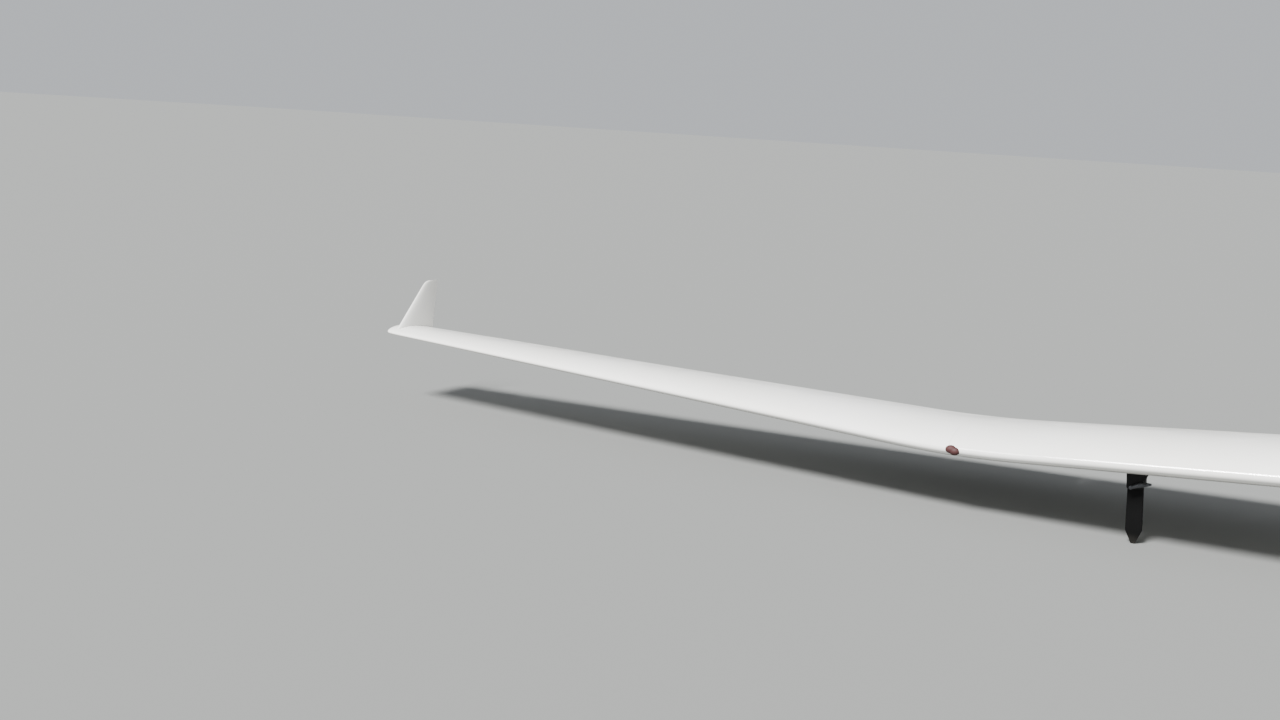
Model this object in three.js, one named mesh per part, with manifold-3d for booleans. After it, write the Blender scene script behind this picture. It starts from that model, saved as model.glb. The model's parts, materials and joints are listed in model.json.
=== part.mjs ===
// A 15 m class single-seat sailplane, parked on its main wheel, its tail wheel and the starboard under-wing skid.
// Millimetres. +X is the port side, +Y is aft and +Z is up.
// The aircraft is drawn wings level with Y = 0 at the wing root's leading edge and Z = 0 on the ground,
// then the whole group leans about its wheels until the starboard skid's foot stands on the ground.
import * as THREE from "three";
import { mergeVertices } from "three/addons/utils/BufferGeometryUtils.js";
import Module from "manifold-3d";

const wasm = await Module();
wasm.setup();

const rad = THREE.MathUtils.degToRad;

// Driving dimensions.
const WING_Z = 640; // wing root's leading edge above the ground
const ROOT_SPAN = 330; // root rib from the centreline
const DIHEDRAL = rad(1); // inner panel
const BREAK_ANGLE = rad(6.4); // how much more the outer panel rises
const BREAK_SPAN = 5250; // middle of the bend, where the panels part
const BEND_HALF = 200; // half the length of the rounded bend
const OUTER_SWEEP = rad(3.1); // outer panel's leading edge
const CAMBER = 0.03;
const CAMBER_AT = 0.45;
const FIT = 0.3; // gap between pieces that touch
const MOVE_GAP = 8; // gap round a moving surface's nose
const END_GAP = 6; // gap at a moving surface's ends
const NOSE_SHARE = 0.94; // a moving surface's nose radius as a share of its half thickness
const SKIN = 12; // cockpit wall

// Wing sections on one side: distance from the centreline, chord, thickness share, pitch in degrees.
const WING_TABLE = [
  { span: ROOT_SPAN, chord: 930, thick: 0.145, pitch: 2.2 },
  { span: 2600, chord: 862, thick: 0.14, pitch: 2.0 },
  { span: 4400, chord: 765, thick: 0.135, pitch: 1.9 },
  { span: BREAK_SPAN, chord: 686, thick: 0.13, pitch: 1.8 },
  { span: 6500, chord: 431, thick: 0.125, pitch: 1.5 },
  { span: 7402, chord: 262, thick: 0.12, pitch: 1.0 },
];
// Tip cap: span, how far its nose is set back, chord share of the last section, thickness share.
const TIP_TABLE = [
  { span: 7448, back: 5, share: 0.96, thick: 0.12 },
  { span: 7470, back: 12, share: 0.92, thick: 0.119 },
  { span: 7482, back: 25, share: 0.85, thick: 0.11 },
  { span: 7487, back: 42, share: 0.76, thick: 0.075 },
];

// Fuselage sections: station, height of the widest line, half width, rise to the top, drop to the belly.
const FUSELAGE_TABLE = [
  { y: -2150, z: 598, half: 16, up: 15, down: 15 },
  { y: -2130, z: 598, half: 52, up: 48, down: 46 },
  { y: -2060, z: 600, half: 98, up: 92, down: 84 },
  { y: -1940, z: 604, half: 146, up: 142, down: 125 },
  { y: -1780, z: 609, half: 190, up: 196, down: 166 },
  { y: -1560, z: 615, half: 236, up: 272, down: 210 },
  { y: -1280, z: 620, half: 276, up: 352, down: 246 },
  { y: -950, z: 626, half: 302, up: 412, down: 274 },
  { y: -600, z: 630, half: 311, up: 424, down: 292 },
  { y: -250, z: 632, half: 309, up: 396, down: 302 },
  { y: 100, z: 628, half: 295, up: 348, down: 302 },
  { y: 450, z: 616, half: 264, up: 288, down: 280 },
  { y: 850, z: 596, half: 212, up: 226, down: 234 },
  { y: 1300, z: 566, half: 160, up: 170, down: 176 },
  { y: 1850, z: 525, half: 122, up: 127, down: 130 },
  { y: 2600, z: 469, half: 98, up: 101, down: 102 },
  { y: 3400, z: 409, half: 80, up: 83, down: 82 },
  { y: 4028, z: 362, half: 68, up: 70, down: 68 },
];
const FUSELAGE_POWER = 2.25; // over 2 is squarer than an ellipse
const FUSELAGE_POINTS = 28;
// Wing root fairing: distance from the centreline, growth of the chord, swelling of the thickness.
const ROOT_FAIRING = [
  { span: ROOT_SPAN - FIT, grow: 0, swell: 1 },
  { span: 308, grow: 8, swell: 1.05 },
  { span: 282, grow: 26, swell: 1.14 },
  { span: 252, grow: 52, swell: 1.26 },
  { span: 212, grow: 92, swell: 1.42 },
  { span: 0, grow: 150, swell: 1.5 },
];
const CABIN_FROM = -2090;
const CABIN_TO = -110;

// Canopy outline seen from the side.
const CANOPY_FRONT = -1655;
const CANOPY_REAR = -330;
const CANOPY_SILL = 735;
const CANOPY_TOP = 1200; // above everything, so the cut has no roof
const CANOPY_LEAN = 85; // how far the rear arch leans aft
const CANOPY_GAP = 5;
const FRAME_WIDTH = 34;
const FRAME_DEPTH = 16;
const GLASS = 5;
const CANOPY_HINGE = { x: -318, y: -770, z: 737 };
const KNUCKLE = { at: [-980, -560], radius: 6, bore: 3.6, pin: 3, length: 40, ear: 8 };

// Fin and rudder sections: height, nose, thickness share. Tailplane sections: span, nose, chord.
const FIN_TABLE = [
  { z: 262, nose: 3020, thick: 0.06 },
  { z: 430, nose: 3080, thick: 0.07 },
  { z: 505, nose: 3230, thick: 0.078 },
  { z: 550, nose: 3400, thick: 0.088 },
  { z: 620, nose: 3490, thick: 0.098 },
  { z: 760, nose: 3557, thick: 0.103 },
  { z: 1484, nose: 3806, thick: 0.105 },
];
const FIN_TAIL = { y: 4385, rake: 0.045 }; // trailing edge at the ground, and how it runs aft with height
const PROBE = { z: 1130, reach: 370, radius: 5 };
const RUDDER_HINGE = { low: { y: 4082, z: 268 }, high: { y: 4136, z: 1415 } };
const TAILPLANE_TABLE = [
  { span: 0, nose: 3835, chord: 500 },
  { span: 1262, nose: 3986, chord: 304 },
  { span: 1296, nose: 4004, chord: 268 },
  { span: 1312, nose: 4030, chord: 212 },
];
const TAILPLANE_Z = 1492;
const TAILPLANE_THICK = 0.115;
const ELEVATOR_HINGE_Y = 4190;

// Control surfaces on the wing: span from, span to, share of the chord at each end.
const AILERONS = [
  { name: "inner", from: 3860, to: 5020, at: [0.78, 0.775] },
  { name: "outer", from: 5480, to: 7160, at: [0.765, 0.74] },
];
const AIRBRAKE = { from: 2350, to: 3450, at: 0.52, cap: 34, lip: 10, blade: 12, tall: 84 };

// Under-wing skid: where its top sits behind the nose, and how it leans outwards and aft to its pointed foot.
const SKID = { span: 4734, back: 97, drop: 244, cant: rad(2.7), rake: rad(7) };
const SKID_BLADE = { half: 23, outerTop: 20, thick: 14, point: 39, end: 3 };
const MAIN_WHEEL = { y: 70, radius: 180, half: 62, bore: 12.5, axle: 11 };
const TAIL_WHEEL = { y: 3800, radius: 90, half: 21, bore: 6.5, axle: 5.4 };

const paint = (color, roughness, metalness = 0) =>
  new THREE.MeshStandardMaterial({ color, roughness, metalness });
const GELCOAT = paint(0xf4f4f2, 0.25);
const RUBBER = paint(0x1b1b1c, 0.85);
const BLACK = paint(0x17171a, 0.55);
const METAL = paint(0xa9adb2, 0.35, 1);
const STEEL = paint(0x84898f, 0.4, 1);
const RED = paint(0x8c2f33, 0.4);
const BLUE = paint(0x27559c, 0.4);
const TRIM = paint(0x3a3d42, 0.7);
const CLOTH = paint(0x4a4e57, 0.95);
const SHELL_GREY = paint(0x8f9398, 0.6);
const TINTED = paint(0x9fb4c0, 0.05);
TINTED.transparent = true;
TINTED.opacity = 0.35;

// Solids: a three.js geometry becomes a manifold for joining and cutting, and comes back as one.
function solid(geometry) {
  const source = geometry.index ? geometry.toNonIndexed() : geometry;
  const bare = new THREE.BufferGeometry().setAttribute("position", source.getAttribute("position"));
  const merged = mergeVertices(bare, 1e-3);
  const corners = [];
  for (let i = 0; i < merged.index.count; i += 3) {
    const [a, b, c] = [0, 1, 2].map((k) => merged.index.getX(i + k));
    if (a !== b && b !== c && c !== a) corners.push(a, b, c);
  }
  const made = (list) =>
    new wasm.Manifold(
      new wasm.Mesh({
        numProp: 3,
        vertProperties: merged.attributes.position.array,
        triVerts: new Uint32Array(list),
      }),
    );
  const first = made(corners);
  return first.volume() >= 0 ? first : made(corners.reverse());
}

const unionOf = (pieces) => pieces.reduce((whole, piece) => whole.add(piece));

function geometryOf(manifold) {
  const mesh = manifold.getMesh();
  const geometry = new THREE.BufferGeometry()
    .setAttribute("position", new THREE.BufferAttribute(new Float32Array(mesh.vertProperties), 3))
    .setIndex(new THREE.BufferAttribute(new Uint32Array(mesh.triVerts), 1));
  geometry.computeVertexNormals();
  return geometry;
}

// A loft through rings of equal length. Point i of a ring faces point (last - i) across it, which closes the ends.
function loft(rings) {
  const count = rings[0].length;
  const position = rings.flat().flatMap((p) => [p.x, p.y, p.z]);
  const index = [];
  for (let k = 0; k + 1 < rings.length; k++)
    for (let i = 0; i < count; i++) {
      const a = k * count + i;
      const b = k * count + ((i + 1) % count);
      index.push(a, b, b + count, a, b + count, a + count);
    }
  const close = (base, flip) => {
    for (let i = 0; i < Math.floor((count - 1) / 2); i++) {
      const [a, b, c, d] = [i, i + 1, count - 2 - i, count - 1 - i].map((n) => base + n);
      const faces = b === c ? [a, b, d] : [a, b, c, a, c, d];
      if (flip) faces.reverse();
      index.push(...faces);
    }
  };
  close(0, true);
  close((rings.length - 1) * count, false);
  return new THREE.BufferGeometry()
    .setAttribute("position", new THREE.Float32BufferAttribute(position, 3))
    .setIndex(index);
}

const lerp = THREE.MathUtils.lerp;
const point = (x, y, z) => new THREE.Vector3(x, y, z);
const AFT = point(0, 1, 0);

// A row of a table between two of its rows, by the column that orders them.
function between(table, key, value) {
  let k = 0;
  while (k < table.length - 2 && table[k + 1][key] < value) k++;
  const [a, b] = [table[k], table[k + 1]];
  const t = (value - a[key]) / (b[key] - a[key]);
  return Object.fromEntries(Object.keys(a).map((column) => [column, lerp(a[column], b[column], t)]));
}

// Airfoil: half thickness and camber at a share of the chord.
const halfThickness = (thick, f) =>
  5 * thick * (0.2969 * Math.sqrt(f) - 0.126 * f - 0.3516 * f ** 2 + 0.2843 * f ** 3 - 0.1015 * f ** 4);
const camberLine = (camber, f) =>
  f < CAMBER_AT
    ? (camber / CAMBER_AT ** 2) * (2 * CAMBER_AT * f - f * f)
    : (camber / (1 - CAMBER_AT) ** 2) * (1 - 2 * CAMBER_AT + 2 * CAMBER_AT * f - f * f);

// Chord shares and sides of one ring, from the upper trailing edge round the nose to the lower one.
function airfoilWalk(perSide) {
  const walk = [];
  for (let i = 0; i <= 2 * perSide; i++) {
    const share = (1 + Math.cos((Math.PI * i) / perSide)) / 2;
    walk.push({ f: share, side: i < perSide ? 1 : i > perSide ? -1 : 0 });
  }
  return walk;
}

// Wing, port side.
function wingHeight(span) {
  const low = BREAK_SPAN - BEND_HALF;
  const bend = Math.tan(DIHEDRAL + BREAK_ANGLE) - Math.tan(DIHEDRAL);
  const into = THREE.MathUtils.clamp(span - low, 0, 2 * BEND_HALF);
  const past = Math.max(0, span - BREAK_SPAN - BEND_HALF);
  return WING_Z + span * Math.tan(DIHEDRAL) + bend * ((into * into) / (4 * BEND_HALF) + past);
}
function wingStation(span) {
  const last = WING_TABLE.at(-1);
  const row = between(WING_TABLE, "span", Math.min(span, last.span));
  const nose = Math.max(0, span - BREAK_SPAN) * Math.tan(OUTER_SWEEP);
  return { ...row, span, nose, height: wingHeight(span) };
}
function tipStation(row) {
  const base = wingStation(WING_TABLE.at(-1).span);
  return {
    ...base,
    span: row.span,
    nose: base.nose + row.back,
    chord: base.chord * row.share,
    thick: row.thick,
    height: wingHeight(row.span),
  };
}
function wingPoint(station, f, side) {
  const along = f * station.chord;
  const over = station.chord * (camberLine(CAMBER, f) + side * halfThickness(station.thick, f));
  const pitch = rad(station.pitch);
  return point(
    station.span,
    station.nose + along * Math.cos(pitch) + over * Math.sin(pitch),
    station.height - along * Math.sin(pitch) + over * Math.cos(pitch),
  );
}
const WING_WALK = airfoilWalk(9);
const wingRing = (station) => WING_WALK.map(({ f, side }) => wingPoint(station, f, side));
const wingLoft = (stations) => solid(loft(stations.map(wingRing)));

// A box that runs along a hinge line from its first point, and aft of it, in its own frame.
function hingeFrame(from, to, aft) {
  const along = to.clone().sub(from).normalize();
  const back = aft.clone().addScaledVector(along, -aft.dot(along)).normalize();
  const over = along.clone().cross(back);
  return new THREE.Matrix4().makeBasis(along, back, over).setPosition(from);
}
// What belongs to a control surface: all that lies aft of its hinge line, and a round nose on that line.
function controlRegion(frame, length, radii, grow, past) {
  const deep = 900;
  const tall = 300;
  const long = length + past[0] + past[1];
  const middle = (length + past[1] - past[0]) / 2;
  const block = new THREE.BoxGeometry(long, deep, tall).translate(middle, deep / 2, 0);
  const nose = new THREE.CylinderGeometry(radii[1] + grow, radii[0] + grow, long, 20)
    .rotateZ(-Math.PI / 2)
    .translate(middle, 0, 0);
  return solid(block.applyMatrix4(frame)).add(solid(nose.applyMatrix4(frame)));
}
function splitControl(full, from, to, radii) {
  const frame = hingeFrame(from, to, AFT);
  const length = from.distanceTo(to);
  return {
    frame,
    fixed: full.subtract(controlRegion(frame, length, radii, MOVE_GAP, [END_GAP, END_GAP])),
    moving: full.intersect(controlRegion(frame, length, radii, 0, [0, 0])),
  };
}

// Outlines: a closed path with rounded corners, pushed out along one axis.
function roundedShape(corners, radius) {
  const shape = new THREE.Shape();
  corners.forEach(([u, v], i) => {
    const here = new THREE.Vector2(u, v);
    const before = new THREE.Vector2(...corners.at(i - 1));
    const after = new THREE.Vector2(...corners[(i + 1) % corners.length]);
    const cut = (other) => {
      const reach = Math.min(radius, here.distanceTo(other) * 0.45);
      return here.clone().lerp(other, reach / here.distanceTo(other));
    };
    const [start, end] = [cut(before), cut(after)];
    if (i === 0) shape.moveTo(start.x, start.y);
    else shape.lineTo(start.x, start.y);
    shape.quadraticCurveTo(u, v, end.x, end.y);
  });
  return shape;
}
const pushOut = (shape, depth, curveSegments = 4) =>
  new THREE.ExtrudeGeometry(shape, { depth, bevelEnabled: false, curveSegments });
// Drawn in the side view (Y, Z) and pushed along X, or drawn in the front view (X, Z) and pushed along Y.
const SIDE_VIEW = new THREE.Matrix4().makeBasis(point(0, 1, 0), point(0, 0, 1), point(1, 0, 0));
const FRONT_VIEW = new THREE.Matrix4().makeBasis(point(1, 0, 0), point(0, 0, 1), point(0, -1, 0));
const sidePlate = (corners, radius, x0, depth, segments) =>
  pushOut(roundedShape(corners, radius), depth, segments).applyMatrix4(SIDE_VIEW).translate(x0, 0, 0);
const frontPlate = (corners, radius, y0, depth, segments) =>
  pushOut(roundedShape(corners, radius), depth, segments).applyMatrix4(FRONT_VIEW).translate(0, y0 + depth, 0);
const box = (x0, x1, y0, y1, z0, z1) =>
  new THREE.BoxGeometry(x1 - x0, y1 - y0, z1 - z0).translate((x0 + x1) / 2, (y0 + y1) / 2, (z0 + z1) / 2);
// A turned piece on a crosswise axle.
const turned = (profile, segments, y, z) =>
  solid(
    new THREE.LatheGeometry(
      profile.map(([across, radius]) => new THREE.Vector2(radius, across)),
      segments,
    )
      .rotateZ(-Math.PI / 2)
      .translate(0, y, z),
  );

// The scene graph.
const glider = new THREE.Group();
const aircraft = new THREE.Group();
glider.add(aircraft);

function place(name, piece, material, parent = aircraft) {
  const geometry = piece.isBufferGeometry ? piece : geometryOf(piece);
  const mesh = new THREE.Mesh(geometry, material);
  mesh.name = name;
  parent.add(mesh);
  return mesh;
}
// A group that stands on a hinge line, with the line along its own X. Its meshes are drawn in the aircraft's frame.
function hinge(name, frame) {
  const group = new THREE.Group();
  group.name = name;
  group.applyMatrix4(frame);
  group.userData.toLocal = frame.clone().invert();
  aircraft.add(group);
  return group;
}
function placeOn(group, name, piece, material) {
  const geometry = piece.isBufferGeometry ? piece : geometryOf(piece);
  return place(name, geometry.applyMatrix4(group.userData.toLocal), material, group);
}
const crosswise = (y, z) => new THREE.Matrix4().makeTranslation(0, y, z);

// Port geometry mirrored to starboard. Turning the winding round is left to solid().
const MIRROR = new THREE.Matrix4().makeScale(-1, 1, 1);
const mirrored = (piece) => solid(geometryOf(piece).applyMatrix4(MIRROR));
function mirroredFrame(frame) {
  const [along, back, over, origin] = [0, 1, 2, 3].map((n) => {
    return new THREE.Vector3().setFromMatrixColumn(frame, n).applyMatrix4(MIRROR);
  });
  // Both sides keep a right-handed frame with aft and up unchanged, so the line points the other way.
  return new THREE.Matrix4().makeBasis(along.negate(), back, over).setPosition(origin);
}
const SIDES = [
  { side: "left", sign: 1, turn: (piece) => piece, turnFrame: (frame) => frame },
  { side: "right", sign: -1, turn: mirrored, turnFrame: mirroredFrame },
];

// Wing panels.
const INNER_SPANS = [ROOT_SPAN, 1400, 2600, 3500, 4400, 5050, 5120, 5185, BREAK_SPAN - FIT / 2];
const OUTER_SPANS = [BREAK_SPAN + FIT / 2, 5315, 5380, 5450, 5950, 6500, 6950, 7402];
const innerFull = wingLoft(INNER_SPANS.map(wingStation));
const outerFull = wingLoft([...OUTER_SPANS.map(wingStation), ...TIP_TABLE.map(tipStation)]);

function aileronSplit(full, row) {
  const ends = [row.from, row.to].map((span, i) => {
    const station = wingStation(span);
    const [top, low] = [1, -1].map((side) => wingPoint(station, row.at[i], side));
    return { middle: top.clone().lerp(low, 0.5), half: top.distanceTo(low) / 2 };
  });
  return splitControl(full, ends[0].middle, ends[1].middle, ends.map((end) => end.half * NOSE_SHARE));
}
const [innerAileron, outerAileron] = [
  aileronSplit(innerFull, AILERONS[0]),
  aileronSplit(outerFull, AILERONS[1]),
];

// Airbrake: a blade under a cap strip that is flush with the upper skin, in a slot that opens upwards.
const brakeMiddle = wingStation((AIRBRAKE.from + AIRBRAKE.to) / 2);
const brakeTop = wingPoint(brakeMiddle, AIRBRAKE.at, 1);
const brakeLow = wingPoint(brakeMiddle, AIRBRAKE.at, -1);
const brakeColumn = (wide, grow) =>
  box(
    AIRBRAKE.from - grow,
    AIRBRAKE.to + grow,
    brakeTop.y - wide / 2 - grow,
    brakeTop.y + wide / 2 + grow,
    brakeTop.z - AIRBRAKE.tall,
    brakeTop.z + 60,
  );
const capStrip = innerFull
  .intersect(solid(brakeColumn(AIRBRAKE.cap, 0)))
  .subtract(solid(box(0, 9000, -500, 1500, 0, brakeTop.z - AIRBRAKE.lip)));
const bladeGrip = 4; // how far the blade reaches into its cap strip
const blade = solid(
  box(
    AIRBRAKE.from,
    AIRBRAKE.to,
    brakeTop.y - AIRBRAKE.blade / 2,
    brakeTop.y + AIRBRAKE.blade / 2,
    brakeTop.z - AIRBRAKE.tall + 6,
    brakeTop.z - AIRBRAKE.lip + bladeGrip,
  ),
);
const airbrake = capStrip.add(blade);
const innerPanel = innerAileron.fixed.subtract(solid(brakeColumn(AIRBRAKE.cap, CANOPY_GAP)));
if (brakeTop.z - AIRBRAKE.tall < brakeLow.z + 6) throw new Error("the airbrake slot breaks the lower skin");
const brakeFrame = (sign) =>
  new THREE.Matrix4()
    .makeBasis(point(0, 0, 1), point(1, 0, 0), point(0, 1, 0))
    .setPosition(point(sign * brakeMiddle.span, brakeTop.y, brakeTop.z));

// Winglet: sections across a line that leans outwards, from inside the tip's skin upwards.
const WINGLET = { span: 7436, back: 10, chord: 226, top: 76, height: 178, sweep: 220, cant: rad(6), thick: 0.1 };
function wingletRing(t) {
  const station = wingStation(WINGLET.span);
  const chord = lerp(WINGLET.chord, WINGLET.top, t);
  const rise = lerp(-6, WINGLET.height, t);
  const nose = station.nose + WINGLET.back + WINGLET.sweep * t;
  return airfoilWalk(7).map(({ f, side }) => {
    const off = side * chord * halfThickness(WINGLET.thick, f);
    return point(
      WINGLET.span + off * Math.cos(WINGLET.cant) + rise * Math.sin(WINGLET.cant),
      nose + f * chord,
      station.height + 8 + rise * Math.cos(WINGLET.cant) - off * Math.sin(WINGLET.cant),
    );
  });
}
const winglet = solid(loft([0, 0.5, 0.88, 1].map(wingletRing))).subtract(
  outerFull.add(outerFull.translate([0, 0, FIT])),
);

// Tyre section across the wheel: a rounded rectangle of superellipse form, from the rim to the tread.
const tyreSection = (radius, half, deep, points) => {
  const middle = radius - deep / 2;
  const path = [];
  for (let i = 0; i <= points; i++) {
    const angle = (i / points) * 2 * Math.PI;
    const bow = (v) => Math.sign(v) * Math.abs(v) ** (2 / 2.4);
    path.push([bow(Math.cos(angle)) * half, middle + (bow(Math.sin(angle)) * deep) / 2]);
  }
  return path;
};
const RIM = 70;
const mainTyreSection = tyreSection(MAIN_WHEEL.radius, MAIN_WHEEL.half, MAIN_WHEEL.radius - RIM, 12);

// Leaning over on level ground: the angle at which the ground touches the tyre's crown and a skid's foot.
function restingLean(foot) {
  const reachOut = Math.hypot(foot.x, foot.z);
  let angle = 0;
  for (let i = 0; i < 8; i++) {
    const crown = mainTyreSection.map(([x, r]) => (MAIN_WHEEL.radius - r) * Math.cos(angle) - x * Math.sin(angle));
    angle = Math.atan2(foot.z, foot.x) - Math.asin(Math.min(...crown) / reachOut);
  }
  return angle;
}

// Under-wing skid: a bracket under the lower skin, a sprung blade with a pointed foot and a locking peg.
const skidStation = wingStation(SKID.span);
const skidTop = wingPoint(skidStation, SKID.back / skidStation.chord, -1);
const skidFoot = point(SKID.span + SKID.drop * Math.tan(SKID.cant), 0, skidStation.height - SKID.drop);
const BRACKET = { out: 21, in: 32, neck: 24, fore: 24, aft: 38, deep: 42, socket: 16 };
const bracketOutline = [
  [SKID.span - BRACKET.in, skidTop.z + 30],
  [SKID.span + BRACKET.out, skidTop.z + 30],
  [SKID.span + BRACKET.out, skidTop.z - BRACKET.deep],
  [SKID.span - BRACKET.neck, skidTop.z - BRACKET.deep],
  [SKID.span - BRACKET.neck, skidTop.z - 20],
  [SKID.span - BRACKET.in, skidTop.z - 6],
];
const bladeTop = skidTop.z - BRACKET.socket;
const bladeEnd = bladeTop - (bladeTop - skidFoot.z) / Math.cos(SKID.rake);
const bladeOutline = [
  [SKID.span - SKID_BLADE.half, bladeTop],
  [SKID.span + SKID_BLADE.outerTop, bladeTop],
  [SKID.span + SKID_BLADE.half, bladeEnd + SKID_BLADE.point],
  [SKID.span + SKID_BLADE.end, bladeEnd - 6],
  [SKID.span - SKID_BLADE.end, bladeEnd - 6],
  [SKID.span - SKID_BLADE.half, bladeEnd + SKID_BLADE.point],
];
const leaned = (geometry) =>
  geometry
    .translate(-SKID.span, -skidTop.y, -bladeTop)
    .rotateX(SKID.rake)
    .rotateY(-SKID.cant)
    .translate(SKID.span, skidTop.y, bladeTop);
const lean = restingLean(skidFoot);
const underGround = solid(
  new THREE.BoxGeometry(400, 400, 200)
    .translate(0, 0, -100)
    .rotateY(-lean)
    .translate(skidFoot.x, skidTop.y, skidFoot.z),
);
const skidBlade = solid(
  leaned(frontPlate(bladeOutline, 7, skidTop.y - SKID_BLADE.thick / 2, SKID_BLADE.thick)),
).subtract(underGround);
// The bracket is a fork: its slot is open at both edges of the blade.
const bladeSlot = solid(
  leaned(box(
    SKID.span - 2 * SKID_BLADE.half,
    SKID.span + 2 * SKID_BLADE.half,
    skidTop.y - SKID_BLADE.thick / 2 - FIT,
    skidTop.y + SKID_BLADE.thick / 2 + FIT,
    bladeTop - 60,
    bladeTop + FIT,
  )),
);
// The peg tapers from inside the fork's front cheek to its tip, inboard and slightly up.
const PEG = { down: 30, fore: 15, inside: 8, reach: 22, root: 8, tip: 3, rise: rad(6) };
const skidPeg = solid(
  new THREE.CylinderGeometry(PEG.root, PEG.tip, PEG.inside + PEG.reach, 12)
    .rotateZ(-Math.PI / 2)
    .rotateY(PEG.rise)
    .translate(
      SKID.span - BRACKET.neck + (PEG.inside - PEG.reach) / 2,
      skidTop.y - PEG.fore,
      skidTop.z - PEG.down,
    ),
);
const skidBracket = solid(
  frontPlate(bracketOutline, 4, skidTop.y - BRACKET.fore, BRACKET.fore + BRACKET.aft),
)
  .subtract(innerFull.add(innerFull.translate([0, 0, -FIT])))
  .add(skidPeg)
  .subtract(bladeSlot);

// Red plug over the joint pin, half sunk in the nose of the wing at the bend.
const PLUG = { span: 5238, radius: 18, stretch: [1.25, 0.75, 0.85], down: 1, aft: 4 };
const plugShape = (radius) =>
  solid(new THREE.SphereGeometry(radius, 12, 8).scale(...PLUG.stretch)).translate([
    PLUG.span,
    PLUG.aft,
    wingStation(PLUG.span).height - PLUG.down,
  ]);
const plug = plugShape(PLUG.radius);
const plugBed = plugShape(PLUG.radius + FIT);

for (const { side, sign, turn, turnFrame } of SIDES) {
  place(`wing_inner_${side}`, turn(innerPanel.subtract(plugBed)), GELCOAT);
  place(`wing_outer_${side}`, turn(outerAileron.fixed.subtract(plugBed)), GELCOAT);
  place(`winglet_${side}`, turn(winglet), GELCOAT);
  place(`joint_plug_${side}`, turn(plug), RED);
  place(`skid_bracket_${side}`, turn(skidBracket), BLACK);
  place(`skid_blade_${side}`, turn(skidBlade), RUBBER);
  for (const [name, split] of [["inner", innerAileron], ["outer", outerAileron]]) {
    const line = hinge(`line_aileron_${name}_${side}`, turnFrame(split.frame));
    placeOn(line, `aileron_${name}_${side}`, turn(split.moving), GELCOAT);
  }
  const slide = hinge(`line_airbrake_${side}`, brakeFrame(sign));
  placeOn(slide, `airbrake_${side}`, turn(airbrake), METAL);
}

// Fuselage: one moulded shell, hollow round the cockpit, solid from the rear wall aft.
function fuselageRing(row, inset) {
  const ring = [];
  for (let i = 0; i < FUSELAGE_POINTS; i++) {
    const angle = ((i + 0.5) / FUSELAGE_POINTS) * 2 * Math.PI + Math.PI / 2;
    const bow = (v) => Math.sign(v) * Math.abs(v) ** (2 / FUSELAGE_POWER);
    const rise = Math.sin(angle) > 0 ? row.up : row.down;
    ring.push(point(bow(Math.cos(angle)) * (row.half - inset), row.y, row.z + bow(Math.sin(angle)) * (rise - inset)));
  }
  return ring;
}
const fuselageLoft = (rows, inset) => solid(loft(rows.map((row) => fuselageRing(row, inset))));
const outer = fuselageLoft(FUSELAGE_TABLE, 0);
const grownBoom = fuselageLoft(FUSELAGE_TABLE.filter((row) => row.y > 1200), -FIT);
const podRows = FUSELAGE_TABLE.filter((row) => row.y > -2150 && row.y < 200);
const cabinRows = [
  between(FUSELAGE_TABLE, "y", CABIN_FROM),
  ...FUSELAGE_TABLE.filter((row) => row.y > CABIN_FROM && row.y < CABIN_TO),
  between(FUSELAGE_TABLE, "y", CABIN_TO),
];
const WELL = { half: 106, from: -180, to: 330, top: 545, wall: 8 };
const wheelWell = solid(box(-WELL.half, WELL.half, WELL.from, WELL.to, 200, WELL.top));
const wellHousing = solid(
  box(-WELL.half - WELL.wall, WELL.half + WELL.wall, WELL.from - WELL.wall, WELL.to, 200, WELL.top + WELL.wall),
);
const cabin = fuselageLoft(cabinRows, SKIN).subtract(wellHousing);

const canopyOutline = (inset) => [
  [CANOPY_FRONT + inset - 30, CANOPY_TOP],
  [CANOPY_FRONT + inset, CANOPY_SILL + inset],
  [CANOPY_REAR - inset, CANOPY_SILL + inset],
  [CANOPY_REAR - inset + CANOPY_LEAN, CANOPY_TOP],
];
const canopyPrism = (inset) => {
  const corners = canopyOutline(inset);
  const round = 70;
  return solid(sidePlate(corners, round, -500, 1000, 6));
};
const rootStation = wingStation(ROOT_SPAN);
const rootRing = ({ span, grow, swell }) =>
  wingRing({ ...rootStation, span, chord: rootStation.chord + grow, thick: rootStation.thick * swell });
const rootFairing = solid(loft([...ROOT_FAIRING].reverse().map(rootRing)));
const wingStub = rootFairing.add(mirrored(rootFairing));
const onHinge = (y, radius, length) =>
  solid(new THREE.CylinderGeometry(radius, radius, length, 12).translate(CANOPY_HINGE.x, y, CANOPY_HINGE.z));
const earFrom = KNUCKLE.length / 2 + MOVE_GAP;
// One hinge point's fixed half: two ears on the skin with a pin between them.
const hingeEars = (y) => {
  const ears = [-1, 1].map((way) => {
    const [y0, y1] = [y + way * earFrom, y + way * (earFrom + KNUCKLE.ear)].sort((a, b) => a - b);
    const { x, z } = CANOPY_HINGE;
    return solid(box(x - 6, x + 6, y0, y1, z - 15, z + 6)).add(solid(box(x - 6, x + 24, y0, y1, z - 15, z - 8)));
  });
  return ears[0].add(ears[1]).add(onHinge(y, KNUCKLE.pin, 2 * earFrom + KNUCKLE.ear));
};
const fuselage = outer
  .add(wingStub)
  .subtract(cabin)
  .subtract(canopyPrism(-CANOPY_GAP))
  .subtract(wheelWell)
  .subtract(unionOf(KNUCKLE.at.map((y) => onHinge(y, KNUCKLE.radius + MOVE_GAP, 2 * earFrom))))
  .add(unionOf(KNUCKLE.at.map(hingeEars)));
place("fuselage", fuselage, GELCOAT);

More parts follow.
